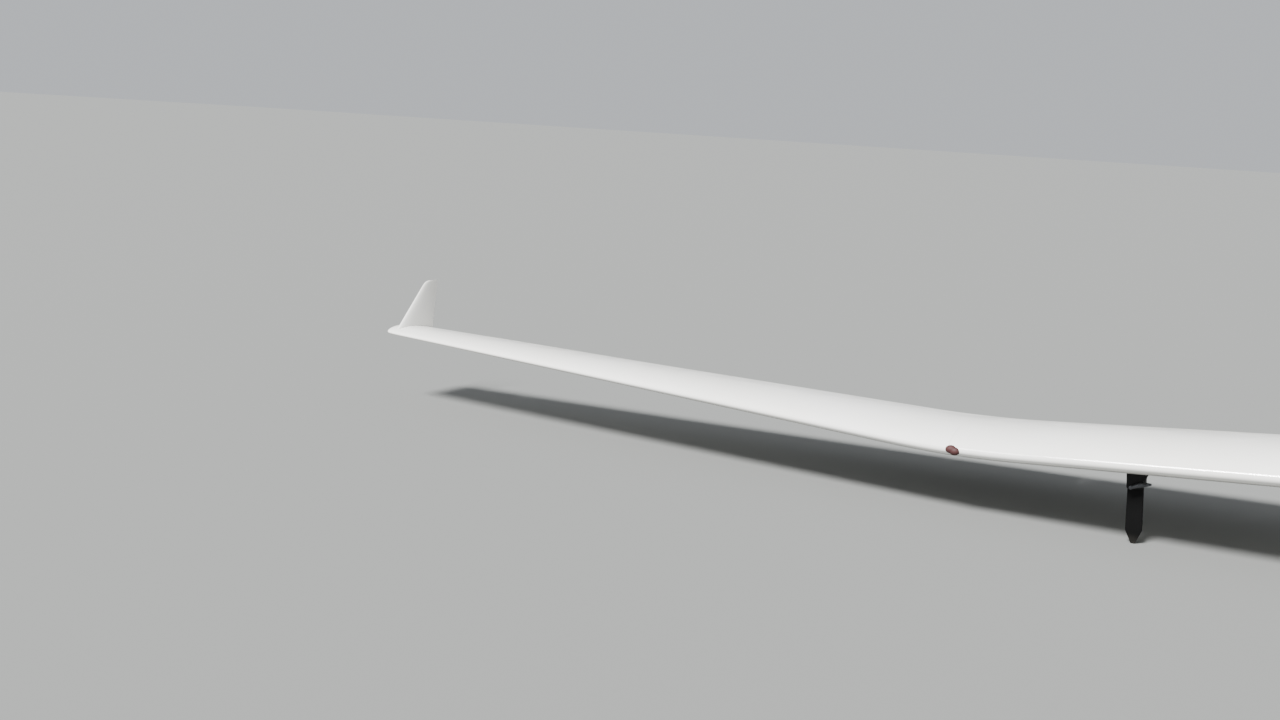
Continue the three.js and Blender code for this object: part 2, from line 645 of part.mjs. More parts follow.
// Canopy: a moulded frame round a blown transparency, hinged along its starboard sill.
const frameBand = canopyPrism(0).subtract(canopyPrism(FRAME_WIDTH));
const frameShell = fuselageLoft(podRows, 0).subtract(fuselageLoft(podRows, FRAME_DEPTH));
const knuckle = (y) => {
  const { x, z } = CANOPY_HINGE;
  const half = KNUCKLE.length / 2;
  return onHinge(y, KNUCKLE.radius, KNUCKLE.length)
    .add(solid(box(x, x + 26, y - half, y + half, z - 1, z + KNUCKLE.radius)))
    .subtract(onHinge(y, KNUCKLE.bore, 2 * KNUCKLE.length));
};
const canopyFrame = frameShell.intersect(frameBand).add(unionOf(KNUCKLE.at.map(knuckle)));
const canopyGlass = fuselageLoft(podRows, 1)
  .subtract(fuselageLoft(podRows, 1 + GLASS))
  .intersect(canopyPrism(FRAME_WIDTH + FIT));
const canopyLine = hinge(
  "line_canopy",
  new THREE.Matrix4()
    .makeBasis(point(0, -1, 0), point(1, 0, 0), point(0, 0, 1))
    .setPosition(point(CANOPY_HINGE.x, CANOPY_HINGE.y, CANOPY_HINGE.z)),
);
placeOn(canopyLine, "canopy_frame", canopyFrame, GELCOAT);
placeOn(canopyLine, "canopy_glass", canopyGlass, TINTED);

// Cockpit.
const SEAT_HALF = 225;
const CUSHION_HALF = 170;
const cabinRoom = fuselageLoft(cabinRows, SKIN + FIT);
const inCabin = (piece) => solid(piece).intersect(cabinRoom);
const seatOutline = [
  [-1130, 462],
  [-1100, 476],
  [-820, 430],
  [-600, 436],
  [-345, 842],
  [-330, 834],
  [-590, 420],
  [-822, 414],
];
place("seat_pan", inCabin(sidePlate(seatOutline, 12, -SEAT_HALF, 2 * SEAT_HALF)), SHELL_GREY);
const cushionOutline = [
  [-1060, 472],
  [-1040, 500],
  [-830, 466],
  [-650, 470],
  [-420, 800],
  [-384, 782],
  [-603, 437],
  [-820, 432],
];
place("seat_cushion", sidePlate(cushionOutline, 14, -CUSHION_HALF, 2 * CUSHION_HALF), CLOTH);
place("headrest", frontPlate([[-85, 845], [85, 845], [85, 955], [-85, 955]], 30, -330, 50), CLOTH);
place(
  "rear_deck",
  solid(frontPlate([[-260, 800], [260, 800], [260, 812], [-260, 812]], 4, -268, 150))
    .add(solid(box(-40, 40, -268, -256, 812, 930))),
  SHELL_GREY,
);
const panelOutline = [[-150, 640], [150, 640], [165, 770], [90, 838], [-90, 838], [-165, 770]];
place(
  "instrument_pod",
  solid(frontPlate(panelOutline, 30, -1500, 70)).add(
    solid(frontPlate([[-55, 462], [55, 462], [45, 660], [-45, 660]], 12, -1490, 50)),
  ),
  TRIM,
);
place(
  "control_stick",
  solid(new THREE.CylinderGeometry(12, 34, 50, 16).rotateX(Math.PI / 2).translate(0, -1190, 448))
    .add(solid(new THREE.CylinderGeometry(9, 9, 210, 12).rotateX(Math.PI / 2).translate(0, -1190, 540)))
    .add(solid(new THREE.CylinderGeometry(16, 14, 110, 12).rotateX(Math.PI / 2).translate(0, -1190, 680))),
  BLACK,
);
const pedal = (x) => solid(frontPlate([[x - 42, 560], [x + 42, 560], [x + 42, 650], [x - 42, 650]], 14, -1752, 10));
place(
  "rudder_pedals",
  pedal(72).add(pedal(-72)).add(solid(box(-72, 72, -1746, -1728, 556, 574))).add(solid(box(-16, 16, -1740, -1560, 540, 562))),
  METAL,
);
place(
  "airbrake_lever",
  solid(new THREE.CylinderGeometry(6, 6, 300, 8).translate(252, -1000, 640))
    .add(solid(new THREE.CylinderGeometry(7, 7, 60, 8).rotateZ(Math.PI / 2).translate(228, -1100, 640)))
    .add(solid(new THREE.SphereGeometry(19, 10, 7).translate(200, -1100, 640))),
  BLUE,
);

// Main undercarriage: wheel on a fixed axle between two legs, with the doors standing open.
const wheelLine = hinge("line_main_wheel", crosswise(MAIN_WHEEL.y, MAIN_WHEEL.radius));
placeOn(wheelLine, "main_tyre", turned(mainTyreSection, 28, MAIN_WHEEL.y, MAIN_WHEEL.radius), RUBBER);
const hubProfile = (rim, half, bore) => [
  [-half, rim],
  [half, rim],
  [half, rim - 10],
  [half * 0.45, rim - 16],
  [half * 0.45, bore + 16],
  [half * 1.02, bore + 10],
  [half * 1.02, bore],
  [-half * 1.02, bore],
  [-half * 1.02, bore + 10],
  [-half * 0.45, bore + 16],
  [-half * 0.45, rim - 16],
  [-half, rim - 10],
  [-half, rim],
];
placeOn(
  wheelLine,
  "main_hub",
  turned(hubProfile(RIM - 1, 46, MAIN_WHEEL.bore), 20, MAIN_WHEEL.y, MAIN_WHEEL.radius),
  METAL,
);
const LEG = { inner: 72, thick: 12, foot: 30, top: 520 };
place(
  "main_axle",
  new THREE.CylinderGeometry(MAIN_WHEEL.axle, MAIN_WHEEL.axle, 2 * LEG.inner - 2 * FIT, 24)
    .rotateZ(Math.PI / 2)
    .translate(0, MAIN_WHEEL.y, MAIN_WHEEL.radius),
  STEEL,
);
const legOutline = [
  [MAIN_WHEEL.y - LEG.foot, MAIN_WHEEL.radius - LEG.foot],
  [MAIN_WHEEL.y + LEG.foot, MAIN_WHEEL.radius - LEG.foot],
  [MAIN_WHEEL.y + LEG.foot + 8, MAIN_WHEEL.radius + 60],
  [MAIN_WHEEL.y + 96, LEG.top],
  [MAIN_WHEEL.y - 10, LEG.top],
  [MAIN_WHEEL.y - LEG.foot, MAIN_WHEEL.radius + 60],
];
const DOOR = { x: 96, thick: 7, top: 352, bottom: 196, from: -172, to: 318, hinges: [-90, 230] };
for (const { side, turn } of SIDES) {
  const door = solid(
    sidePlate(
      [[DOOR.from, DOOR.top], [DOOR.to, DOOR.top], [DOOR.to - 20, DOOR.bottom], [DOOR.from + 20, DOOR.bottom]],
      24,
      DOOR.x,
      DOOR.thick,
    ),
  );
  const hinges = DOOR.hinges.map((y) => solid(box(DOOR.x, WELL.half - FIT, y - 22, y + 22, DOOR.top - 26, DOOR.top + 22)));
  place(`gear_door_${side}`, turn(door.add(unionOf(hinges)).subtract(fuselage)), GELCOAT);
}
const gearLeg = solid(sidePlate(legOutline, 22, LEG.inner, LEG.thick));
const gearCrossbar = solid(
  new THREE.CylinderGeometry(16, 16, 2 * LEG.inner + LEG.thick, 16)
    .rotateZ(Math.PI / 2)
    .translate(0, MAIN_WHEEL.y + 42, LEG.top - 34),
);
const axleNut = solid(
  new THREE.CylinderGeometry(19, 19, 9, 6)
    .rotateZ(Math.PI / 2)
    .translate(LEG.inner + LEG.thick + 4, MAIN_WHEEL.y, MAIN_WHEEL.radius),
);
const gearStrut = solid(
  sidePlate(
    [
      [MAIN_WHEEL.y + 22, LEG.top - 50],
      [MAIN_WHEEL.y + 56, LEG.top - 30],
      [WELL.from + 12, LEG.top - 92],
      [WELL.from + FIT, LEG.top - 92],
      [WELL.from + FIT, LEG.top - 122],
    ],
    6,
    -11,
    22,
  ),
);
const gearSide = gearLeg.add(axleNut);
place("gear_fork", unionOf([gearSide, mirrored(gearSide), gearCrossbar, gearStrut]), METAL);

// Belly release hook, ahead of the wheel.
place(
  "tow_hook",
  solid(box(-16, 16, -330, -250, 322, 352))
    .add(solid(new THREE.TorusGeometry(16, 4.5, 8, 20).rotateY(Math.PI / 2).translate(0, -292, 312)))
    .subtract(outer.add(outer.translate([0, 0, -FIT]))),
  STEEL,
);

// Tail: fin, rudder, tailplane and elevator.
function finStation(z) {
  const row = between(FIN_TABLE, "z", z);
  return { ...row, chord: FIN_TAIL.y + FIN_TAIL.rake * z - row.nose };
}
const finRing = ({ z }) => {
  const row = finStation(z);
  return airfoilWalk(8).map(({ f, side }) =>
    point(-side * row.chord * halfThickness(row.thick, f), row.nose + f * row.chord, z),
  );
};
const finFull = solid(loft(FIN_TABLE.map(finRing)));
const tailplaneRing = (x) => {
  const row = between(TAILPLANE_TABLE, "span", Math.abs(x));
  return airfoilWalk(8).map(({ f, side }) =>
    point(x, row.nose + f * row.chord, TAILPLANE_Z + side * row.chord * halfThickness(TAILPLANE_THICK, f)),
  );
};
const tailplaneSpans = TAILPLANE_TABLE.map((row) => row.span);
const tailplaneFull = solid(
  loft([...tailplaneSpans.slice(1).reverse(), ...tailplaneSpans.map((span) => -span)].map(tailplaneRing)),
);
// The fin is thickest at its hinge line part of the way up, and the rudder's nose has that radius all the way.
const [rudderLow, rudderHigh] = [RUDDER_HINGE.low, RUDDER_HINGE.high].map(({ y, z }) => point(0, y, z));
const rudderHalf = (t) => {
  const { y, z } = rudderLow.clone().lerp(rudderHigh, t);
  const row = finStation(z);
  return row.chord * halfThickness(row.thick, (y - row.nose) / row.chord);
};
const rudderNose = Math.max(...[0, 0.2, 0.4, 0.6, 1].map(rudderHalf)) * NOSE_SHARE;
const rudderSplit = splitControl(finFull, rudderLow, rudderHigh, [rudderNose, rudderNose]);
const FIN_FOOT = 380;
const fin = rudderSplit.fixed
  .subtract(solid(box(-400, 400, 3000, 5000, 0, FIN_FOOT)))
  .subtract(solid(box(-400, 400, RUDDER_HINGE.high.y + 10, 5000, 0, 1600)))
  .subtract(grownBoom)
  .subtract(tailplaneFull.add(tailplaneFull.translate([0, 0, -2 * FIT])));
place("fin", fin, GELCOAT);
const rudderLine = hinge("line_rudder", rudderSplit.frame);
placeOn(rudderLine, "rudder", rudderSplit.moving, GELCOAT);

// Total energy probe: a thin tube that leaves the fin's nose and turns up slightly at its tip.
const probeRoot = finStation(PROBE.z).nose + 30;
const probeLine = new THREE.CatmullRomCurve3([
  point(0, probeRoot, PROBE.z),
  point(0, probeRoot - PROBE.reach * 0.5, PROBE.z),
  point(0, probeRoot - PROBE.reach * 0.86, PROBE.z),
  point(0, probeRoot - PROBE.reach, PROBE.z + 14),
]);
const probeSection = new THREE.Shape().absarc(0, 0, PROBE.radius, 0, 2 * Math.PI);
place(
  "energy_probe",
  solid(new THREE.ExtrudeGeometry(probeSection, { steps: 10, curveSegments: 4, extrudePath: probeLine })).subtract(
    finFull.add(finFull.translate([0, -FIT, 0])),
  ),
  STEEL,
);

const elevatorEnd = TAILPLANE_TABLE[1].span - 20;
const elevatorHalf = (x) => {
  const row = between(TAILPLANE_TABLE, "span", Math.abs(x));
  return row.chord * halfThickness(TAILPLANE_THICK, (ELEVATOR_HINGE_Y - row.nose) / row.chord);
};
const elevatorRadii = [elevatorHalf(0) * NOSE_SHARE, elevatorHalf(elevatorEnd) * NOSE_SHARE];
const elevatorFrame = hingeFrame(
  point(0, ELEVATOR_HINGE_Y, TAILPLANE_Z),
  point(elevatorEnd, ELEVATOR_HINGE_Y, TAILPLANE_Z),
  AFT,
);
function elevatorRegion(grow, past) {
  const port = controlRegion(elevatorFrame, elevatorEnd, elevatorRadii, grow, [0, past]);
  return port.add(mirrored(port));
}
place("tailplane", tailplaneFull.subtract(elevatorRegion(MOVE_GAP, END_GAP)), GELCOAT);
const elevatorLine = hinge("line_elevator", elevatorFrame);
placeOn(elevatorLine, "elevator", tailplaneFull.intersect(elevatorRegion(0, 0)), GELCOAT);

// Tail wheel in a fairing under the boom.
const FAIRING_TABLE = [
  { z: 60, length: 150, half: 36 },
  { z: 84, length: 172, half: 42 },
  { z: 230, length: 205, half: 45 },
  { z: 360, length: 240, half: 45 },
];
const fairingRing = (row) => {
  const ring = [];
  for (let i = 0; i < 24; i++) {
    const angle = ((i + 0.5) / 24) * 2 * Math.PI;
    const bow = (v) => Math.sign(v) * Math.abs(v) ** (2 / 2.8);
    ring.push(point(bow(Math.sin(angle)) * row.half, TAIL_WHEEL.y + 10 + bow(Math.cos(angle)) * row.length, row.z));
  }
  return ring;
};
const wheelSlot = turned(
  [[-28, 0], [28, 0], [28, TAIL_WHEEL.radius + 12], [-28, TAIL_WHEEL.radius + 12], [-28, 0]],
  24,
  TAIL_WHEEL.y,
  TAIL_WHEEL.radius,
);
const tailAxleHole = solid(
  new THREE.CylinderGeometry(TAIL_WHEEL.axle + FIT, TAIL_WHEEL.axle + FIT, 200, 20)
    .rotateZ(Math.PI / 2)
    .translate(0, TAIL_WHEEL.y, TAIL_WHEEL.radius),
);
place(
  "tail_wheel_fairing",
  solid(loft(FAIRING_TABLE.map(fairingRing)))
    .subtract(wheelSlot)
    .subtract(tailAxleHole)
    .subtract(grownBoom),
  GELCOAT,
);
place(
  "tail_axle",
  new THREE.CylinderGeometry(TAIL_WHEEL.axle, TAIL_WHEEL.axle, 80, 20)
    .rotateZ(Math.PI / 2)
    .translate(0, TAIL_WHEEL.y, TAIL_WHEEL.radius),
  STEEL,
);
const tailLine = hinge("line_tail_wheel", crosswise(TAIL_WHEEL.y, TAIL_WHEEL.radius));
const TAIL_RIM = 48;
placeOn(
  tailLine,
  "tail_tyre",
  turned(
    tyreSection(TAIL_WHEEL.radius, TAIL_WHEEL.half, TAIL_WHEEL.radius - TAIL_RIM, 10),
    24,
    TAIL_WHEEL.y,
    TAIL_WHEEL.radius,
  ),
  RUBBER,
);
placeOn(
  tailLine,
  "tail_hub",
  turned(hubProfile(TAIL_RIM - 1, 17, TAIL_WHEEL.bore), 18, TAIL_WHEEL.y, TAIL_WHEEL.radius),
  METAL,
);

aircraft.rotation.y = -lean;

// The part's origin: the middle of its footprint, on the ground.
glider.updateMatrixWorld(true);
const reach = new THREE.Box3().setFromObject(glider, true);
aircraft.position.set(-(reach.min.x + reach.max.x) / 2, -(reach.min.y + reach.max.y) / 2, -reach.min.z);

export default glider;
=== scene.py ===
import json
import math

import bmesh
import bpy
from mathutils import Matrix, Vector


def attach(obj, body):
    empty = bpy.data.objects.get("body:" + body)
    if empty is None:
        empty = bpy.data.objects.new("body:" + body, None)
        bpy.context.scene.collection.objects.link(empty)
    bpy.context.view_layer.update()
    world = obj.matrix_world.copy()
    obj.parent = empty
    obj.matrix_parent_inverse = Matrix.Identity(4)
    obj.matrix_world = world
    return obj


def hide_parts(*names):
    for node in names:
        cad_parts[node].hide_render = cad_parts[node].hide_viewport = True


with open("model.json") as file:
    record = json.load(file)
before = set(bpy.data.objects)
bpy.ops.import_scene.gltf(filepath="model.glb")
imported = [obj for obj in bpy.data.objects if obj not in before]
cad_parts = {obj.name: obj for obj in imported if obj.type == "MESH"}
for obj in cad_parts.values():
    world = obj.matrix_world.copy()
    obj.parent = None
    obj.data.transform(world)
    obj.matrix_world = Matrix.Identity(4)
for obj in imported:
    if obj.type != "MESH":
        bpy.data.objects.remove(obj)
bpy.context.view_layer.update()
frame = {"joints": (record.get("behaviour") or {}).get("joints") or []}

# Fuselage: a glass fibre pod and boom, laid up in two halves in moulds and bonded down the middle. The wing
# roots flare out of its sides. The cockpit, the wheel well and the nose's air inlet are open in it. Outside
# it is polished white gelcoat, and inside the cockpit it is sprayed with speckled grey paint.
POD = [  # station, height of the widest line, half width, rise to the top, drop to the belly
    (-2150, 598, 16, 15, 15), (-2130, 598, 52, 48, 46), (-2060, 600, 98, 92, 84),
    (-1940, 604, 146, 142, 125), (-1780, 609, 190, 196, 166), (-1560, 615, 236, 272, 210),
    (-1280, 620, 276, 352, 246), (-950, 626, 302, 412, 274), (-600, 630, 311, 424, 292),
    (-250, 632, 309, 396, 302), (100, 628, 295, 348, 302), (450, 616, 264, 288, 280),
    (850, 596, 212, 226, 234), (1300, 566, 160, 170, 176), (1850, 525, 122, 127, 130),
    (2600, 469, 98, 101, 102), (3400, 409, 80, 83, 82), (4028, 362, 68, 70, 68),
]
SQUARENESS = 2.25  # over 2 is squarer than an ellipse
WALL = 12
CABIN = (-2090, -110)
CANOPY_SIDE = [(-1685, 1200), (-1655, 735), (-330, 735), (-245, 1200)]
CANOPY_CORNER = 70
CANOPY_GAP = 5
AIR_INLET = {"from": -2170, "to": -2080, "height": 598, "radius": 11}
WELL = {"half": 106, "fore": -180, "aft": 330, "low": 200, "top": 545, "wall": 8}
ROOT = {"span": 330, "chord": 930, "thick": 0.145, "pitch": math.radians(2.2)}
FLARE = [(329.7, 0, 1), (308, 8, 1.05), (282, 26, 1.14), (252, 52, 1.26), (212, 92, 1.42), (0, 150, 1.5)]
WING_HEIGHT = 640
DIHEDRAL = math.radians(1)
CAMBER, CAMBER_AT = 0.03, 0.45
LID_HINGE = {"x": -318, "z": 737, "at": (-980, -560), "pin": 3, "knuckle": 6, "half": 20, "room": 8}
LUG = {"long": 8, "half": 6, "down": 15, "up": 6, "foot": 24, "foot_top": 8}  # it holds an end of a hinge pin
MAIN_AXLE = Vector((0, 70, 180))  # while the wings are level, in millimetres

spin = next(joint for joint in frame["joints"] if joint["name"] == "main_wheel_spin")
lean = math.atan2(spin["axis"][2], spin["axis"][0])
leaning = Matrix.Rotation(-lean, 4, "Y")
parked = (
    Matrix.Translation(spin["pos_m"]) @ leaning @ Matrix.Scale(0.001, 4) @ Matrix.Translation(-MAIN_AXLE)
)


def refine(rows, steps):
    """More rows between the rows of a table, along one smooth curve that passes through all of them."""
    rows = [Vector(row) for row in rows]
    rows = [2 * rows[0] - rows[1], *rows, 2 * rows[-1] - rows[-2]]
    fine = []
    for a, b, c, d in zip(rows, rows[1:], rows[2:], rows[3:]):
        for n in range(steps):
            t = n / steps
            bend = (2 * a - 5 * b + 4 * c - d) * t * t + (3 * b - a - 3 * c + d) * t**3
            fine.append((2 * b + (c - a) * t + bend) / 2)
    return fine + [rows[-2]]


def row_at(rows, place):
    """The row of an ordered table at a place between two of its rows, or None past its ends."""
    for low, high in zip(rows, rows[1:]):
        if low[0] <= place <= high[0]:
            return Vector(low).lerp(Vector(high), (place - low[0]) / (high[0] - low[0]))


def section_swell(f):
    """How a wing section's half thickness changes along its chord, for a section a fifth as thick as long."""
    return 0.2969 * math.sqrt(f) - 0.126 * f - 0.3516 * f**2 + 0.2843 * f**3 - 0.1015 * f**4


def section_arch(arch, f):
    """How far a wing section's middle line lies above its chord, as a share of the chord."""
    if f < CAMBER_AT:
        return arch / CAMBER_AT**2 * (2 * CAMBER_AT * f - f * f)
    return arch / (1 - CAMBER_AT) ** 2 * (1 - 2 * CAMBER_AT + 2 * CAMBER_AT * f - f * f)


def airfoil(chord, thick, arch=0.0, pitch=0.0, steps=40):
    """How far aft and up each point of a wing section is, from its upper trailing edge round the nose."""
    points = []
    for n in range(2 * steps + 1):
        f = (1 + math.cos(math.pi * n / steps)) / 2
        side = 1 if n < steps else -1
        aft, up = f * chord, chord * (section_arch(arch, f) + side * 5 * thick * section_swell(f))
        points.append(
            (aft * math.cos(pitch) + up * math.sin(pitch), up * math.cos(pitch) - aft * math.sin(pitch))
        )
    return points


def closed(shape):
    """Turns every face of a closed shape outwards."""
    bmesh.ops.recalc_face_normals(shape, faces=shape.faces)
    if shape.calc_volume(signed=True) < 0:
        bmesh.ops.reverse_faces(shape, faces=shape.faces)
    return shape


def skin(rings):
    """A closed shape through rings of points: each is bridged to the next, and both ends are filled."""
    shape = bmesh.new()
    loops = []
    for ring in rings:
        corners = [shape.verts.new(corner) for corner in ring]
        loops.append([shape.edges.new(pair) for pair in zip(corners, corners[1:] + corners[:1])])
    for near, far in zip(loops, loops[1:]):
        bmesh.ops.bridge_loops(shape, edges=near + far)
    for end in (loops[0], loops[-1]):
        bmesh.ops.edgeloop_fill(shape, edges=end)
    return closed(shape)


def plate(view, corners, radius, start, depth, segments=4):
    """A flat plate with rounded corners, seen from the side (Y, Z), the front (X, Z) or the top (X, Y)."""
    turn = {"side": (2, 0, 1), "front": (0, 2, 1), "top": (0, 1, 2)}[view]
    shape = bmesh.new()
    flat = [(u, v, start) for u, v in corners]
    shape.faces.new([shape.verts.new([corner[axis] for axis in turn]) for corner in flat])
    if radius:
        bmesh.ops.bevel(
            shape, geom=shape.verts[:], offset=radius, segments=segments, profile=0.5, affect="VERTICES",
            material=-1,
        )
    risen = bmesh.ops.extrude_face_region(shape, geom=shape.faces[:])["geom"]
    risen = [part for part in risen if isinstance(part, bmesh.types.BMVert)]
    bmesh.ops.translate(shape, vec=[(0, 0, depth)[axis] for axis in turn], verts=risen)
    return closed(shape)


def oblong(low, high):
    """The corners of an upright rectangle."""
    return [(low[0], low[1]), (high[0], low[1]), (high[0], high[1]), (low[0], high[1])]


def block(low, high):
    """A plain block between two corners, to cut with or to join on."""
    return plate("top", oblong(low, high), 0, low[2], high[2] - low[2])


def rod(start, end, radius, sides=24, end_radius=None):
    """A round rod or cone between two points."""
    start, end = Vector(start), Vector(end)
    shape = bmesh.new()
    far = radius if end_radius is None else end_radius
    bmesh.ops.create_cone(
        shape, cap_ends=True, segments=sides, radius1=radius, radius2=far, depth=(end - start).length
    )
    turn = Vector((0, 0, 1)).rotation_difference(end - start).to_matrix().to_4x4()
    bmesh.ops.transform(shape, matrix=Matrix.Translation((start + end) / 2) @ turn, verts=shape.verts)
    return shape


def combine(shape, tool, operation="DIFFERENCE"):
    """Cuts one closed shape with another, or joins them, and uses both up."""
    pair = []
    for part in (shape, tool):
        mesh = bpy.data.meshes.new("rough")
        part.to_mesh(mesh)
        part.free()
        pair.append(bpy.data.objects.new("rough", mesh))
        bpy.context.scene.collection.objects.link(pair[-1])
    cutter = pair[0].modifiers.new("cut", "BOOLEAN")
    cutter.object, cutter.operation, cutter.solver = pair[1], operation, "MANIFOLD"
    result = bmesh.new()
    result.from_object(pair[0], bpy.context.evaluated_depsgraph_get())
    for rough in pair:
        bpy.data.meshes.remove(rough.data)
    return result


def mirrored(shape):
    """The starboard twin of a port shape."""
    twin = shape.copy()
    bmesh.ops.scale(twin, vec=(-1, 1, 1), verts=twin.verts)
    bmesh.ops.reverse_faces(twin, faces=twin.faces)
    return twin


def soften(shape, width, segments=2, over=30):
    """Rounds every edge that is sharper than an angle."""
    sharp = math.radians(over)
    edges = [edge for edge in shape.edges if edge.is_manifold and edge.calc_face_angle() > sharp]
    bmesh.ops.bevel(
        shape, geom=edges, offset=width, segments=segments, profile=0.5, affect="EDGES", material=-1,
        clamp_overlap=True,
    )
    return shape


def park(shape, name, finishes, body, *stands_for, sharp=32):
    """Makes a piece of a shape drawn wings level in millimetres, where the leaning aircraft has it."""
    bmesh.ops.remove_doubles(shape, verts=shape.verts, dist=0.003)
    bmesh.ops.transform(shape, matrix=parked, verts=shape.verts)
    mesh = bpy.data.meshes.new(name)
    shape.to_mesh(mesh)
    shape.free()
    mesh.shade_smooth()
    mesh.set_sharp_from_angle(angle=math.radians(sharp))
    piece = bpy.data.objects.new(name, mesh)
    bpy.context.scene.collection.objects.link(piece)
    for finish in finishes:
        mesh.materials.append(finish)
    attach(piece, body)
    if stands_for:
        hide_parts(*stands_for)
    return piece


def colour(sheet):
    """A colour sheet's hex value, such as "f4f2ec", as the linear colour that a shader takes."""
    parts = [int(sheet[at : at + 2], 16) / 255 for at in (0, 2, 4)]
    return [part / 12.92 if part <= 0.04045 else ((part + 0.055) / 1.055) ** 2.4 for part in parts] + [1]


def add(finish, kind, sockets, **settings):
    """Adds a node with its settings. A socket takes a value, or the output socket that it is linked from."""
    node = finish.node_tree.nodes.new("ShaderNode" + kind)
    for setting, value in settings.items():
        setattr(node, setting, value)
    for socket, value in sockets.items():
        if isinstance(value, bpy.types.NodeSocket):
            finish.node_tree.links.new(value, node.inputs[socket])
        else:
            node.inputs[socket].default_value = value
    return node


def shade(finish, **sockets):
    """Gives the shader of a finish its plain values, and links the outputs of nodes to it."""
    shader = finish.node_tree.nodes["Principled BSDF"]
    for socket, value in sockets.items():
        socket = shader.inputs[socket.replace("_", " ")]
        if isinstance(value, bpy.types.NodeSocket):
            finish.node_tree.links.new(value, socket)
        else:
            socket.default_value = value


def new_finish(name, slot, **shader):
    """A material with its shader's plain values, ready for its pattern."""
    finish = bpy.data.materials.new(name)
    finish.use_nodes = True
    finish["slot"] = slot
    shade(finish, **shader)
    return finish


def per_metre(millimetres):
    """The scale of a pattern whose waves or cells are that long, on coordinates in metres."""
    return 1000 / millimetres


def mottled(name, slot, dark, light, size, detail=4, spread=(0, 1), polish=None, grain=None, **shader):
    """A finish that clouds between two colours over so many millimetres, between two shares of the pattern.

    Its roughness can follow between two values. A grain is a finer relief: size, detail, strength, height.
    """
    finish = new_finish(name, slot, **shader)
    place = add(finish, "TexCoord", {}).outputs["Object"]
    cloud = {"Vector": place, "Scale": per_metre(size), "Detail": detail}
    cloud = add(finish, "TexNoise", cloud).outputs["Fac"]
    tint = add(finish, "ValToRGB", {"Fac": cloud})
    for element, sheet, share in zip(tint.color_ramp.elements, (dark, light), spread):
        element.color, element.position = colour(sheet), share
    shade(finish, Base_Color=tint.outputs["Color"])
    if polish:
        dull = add(finish, "MapRange", {"Value": cloud, "To Min": polish[0], "To Max": polish[1]})
        shade(finish, Roughness=dull.outputs["Result"])
    if grain:
        size, detail, strength, height = grain
        fine = add(finish, "TexNoise", {"Vector": place, "Scale": per_metre(size), "Detail": detail})
        relief = {"Height": fine.outputs["Fac"], "Strength": strength, "Distance": height}
        shade(finish, Normal=add(finish, "Bump", relief).outputs["Normal"])
    return finish


# Polished white gelcoat: the polyester resin that the mould was sprayed with. It is glossy with faint long
# waves from the cloth under it, slightly warm, and dulled a little where hands and rain have been.
gelcoat = mottled(
    "polished_white_gelcoat", "gelcoat", "efede6", "f6f5f1", 420, 3, (0.3, 0.7), grain=(26, 2, 0.05, 0.001),
    IOR=1.54, Coat_Weight=0.25, Coat_Roughness=0.04,
)
place = add(gelcoat, "TexCoord", {}).outputs["Object"]
smear = add(gelcoat, "TexNoise", {"Vector": place, "Scale": per_metre(90), "Detail": 4}).outputs["Fac"]
polish = {"Value": smear, "From Min": 0.35, "From Max": 0.7, "To Min": 0.12, "To Max": 0.24}
shade(gelcoat, Roughness=add(gelcoat, "MapRange", polish).outputs["Result"])

# Speckled cockpit paint: a grey base with fine lighter and darker spatter, sprayed over the bare laminate.
# It is matt, and hides the weave.
cockpit_paint = new_finish("speckled_cockpit_paint", "cockpit_shell", IOR=1.5, Roughness=0.62)
place = add(cockpit_paint, "TexCoord", {}).outputs["Object"]
spatter = add(cockpit_paint, "TexVoronoi", {"Vector": place, "Scale": per_metre(3.5), "Randomness": 1})
fleck = add(cockpit_paint, "SeparateColor", {"Color": spatter.outputs["Color"]}).outputs["Red"]
tint = add(cockpit_paint, "ValToRGB", {"Fac": fleck})
tint.color_ramp.interpolation = "CONSTANT"
tint.color_ramp.elements[0].color = colour("868a8e")
tint.color_ramp.elements[1].color, tint.color_ramp.elements[1].position = colour("b4b7b9"), 0.88
tint.color_ramp.elements.new(0.14).color = colour("9a9da0")
grit = add(cockpit_paint, "TexNoise", {"Vector": place, "Scale": per_metre(3), "Detail": 2}).outputs["Fac"]
relief = add(cockpit_paint, "Bump", {"Height": grit, "Strength": 0.25, "Distance": 0.0006})
shade(cockpit_paint, Base_Color=tint.outputs["Color"], Normal=relief.outputs["Normal"])

# Wheel well primer: matt warm grey over the bare laminate, with grass dust thrown up by the wheel.
well_primer = mottled(
    "wheel_well_primer", "gelcoat", "a8a59c", "c9c8c3", 60, 5, (0.35, 0.65), IOR=1.5, Roughness=0.75
)

pod_rows = refine(POD, 5)


def pod_ring(row, inset, count=64):
    """The pod's cross-section at one station, drawn in from the outside by the inset."""
    y, z, half, up, down = row
    ring = []
    for n in range(count):
        turn = math.tau * (n + 0.5) / count
        across, over = (
            math.copysign(abs(reach) ** (2 / SQUARENESS), reach) for reach in (math.cos(turn), math.sin(turn))
        )
        ring.append((across * (half - inset), y, z + over * ((up if over > 0 else down) - inset)))
    return ring


def pod_stretch(fore, aft, inset):
    """The pod between two stations, drawn in by the inset."""
    rows = [row for row in pod_rows if fore < row[0] < aft]
    return skin([pod_ring(row, inset) for row in [row_at(pod_rows, fore), *rows, row_at(pod_rows, aft)]])


def canopy_prism(inset):
    """What the canopy takes out of the pod, seen from the side."""
    (y0, top), (y1, sill), (y2, _), (y3, _) = CANOPY_SIDE
    corners = [(y0 + inset, top), (y1 + inset, sill + inset), (y2 - inset, sill + inset), (y3 - inset, top)]
    return plate("side", corners, CANOPY_CORNER, -500, 1000, segments=10)


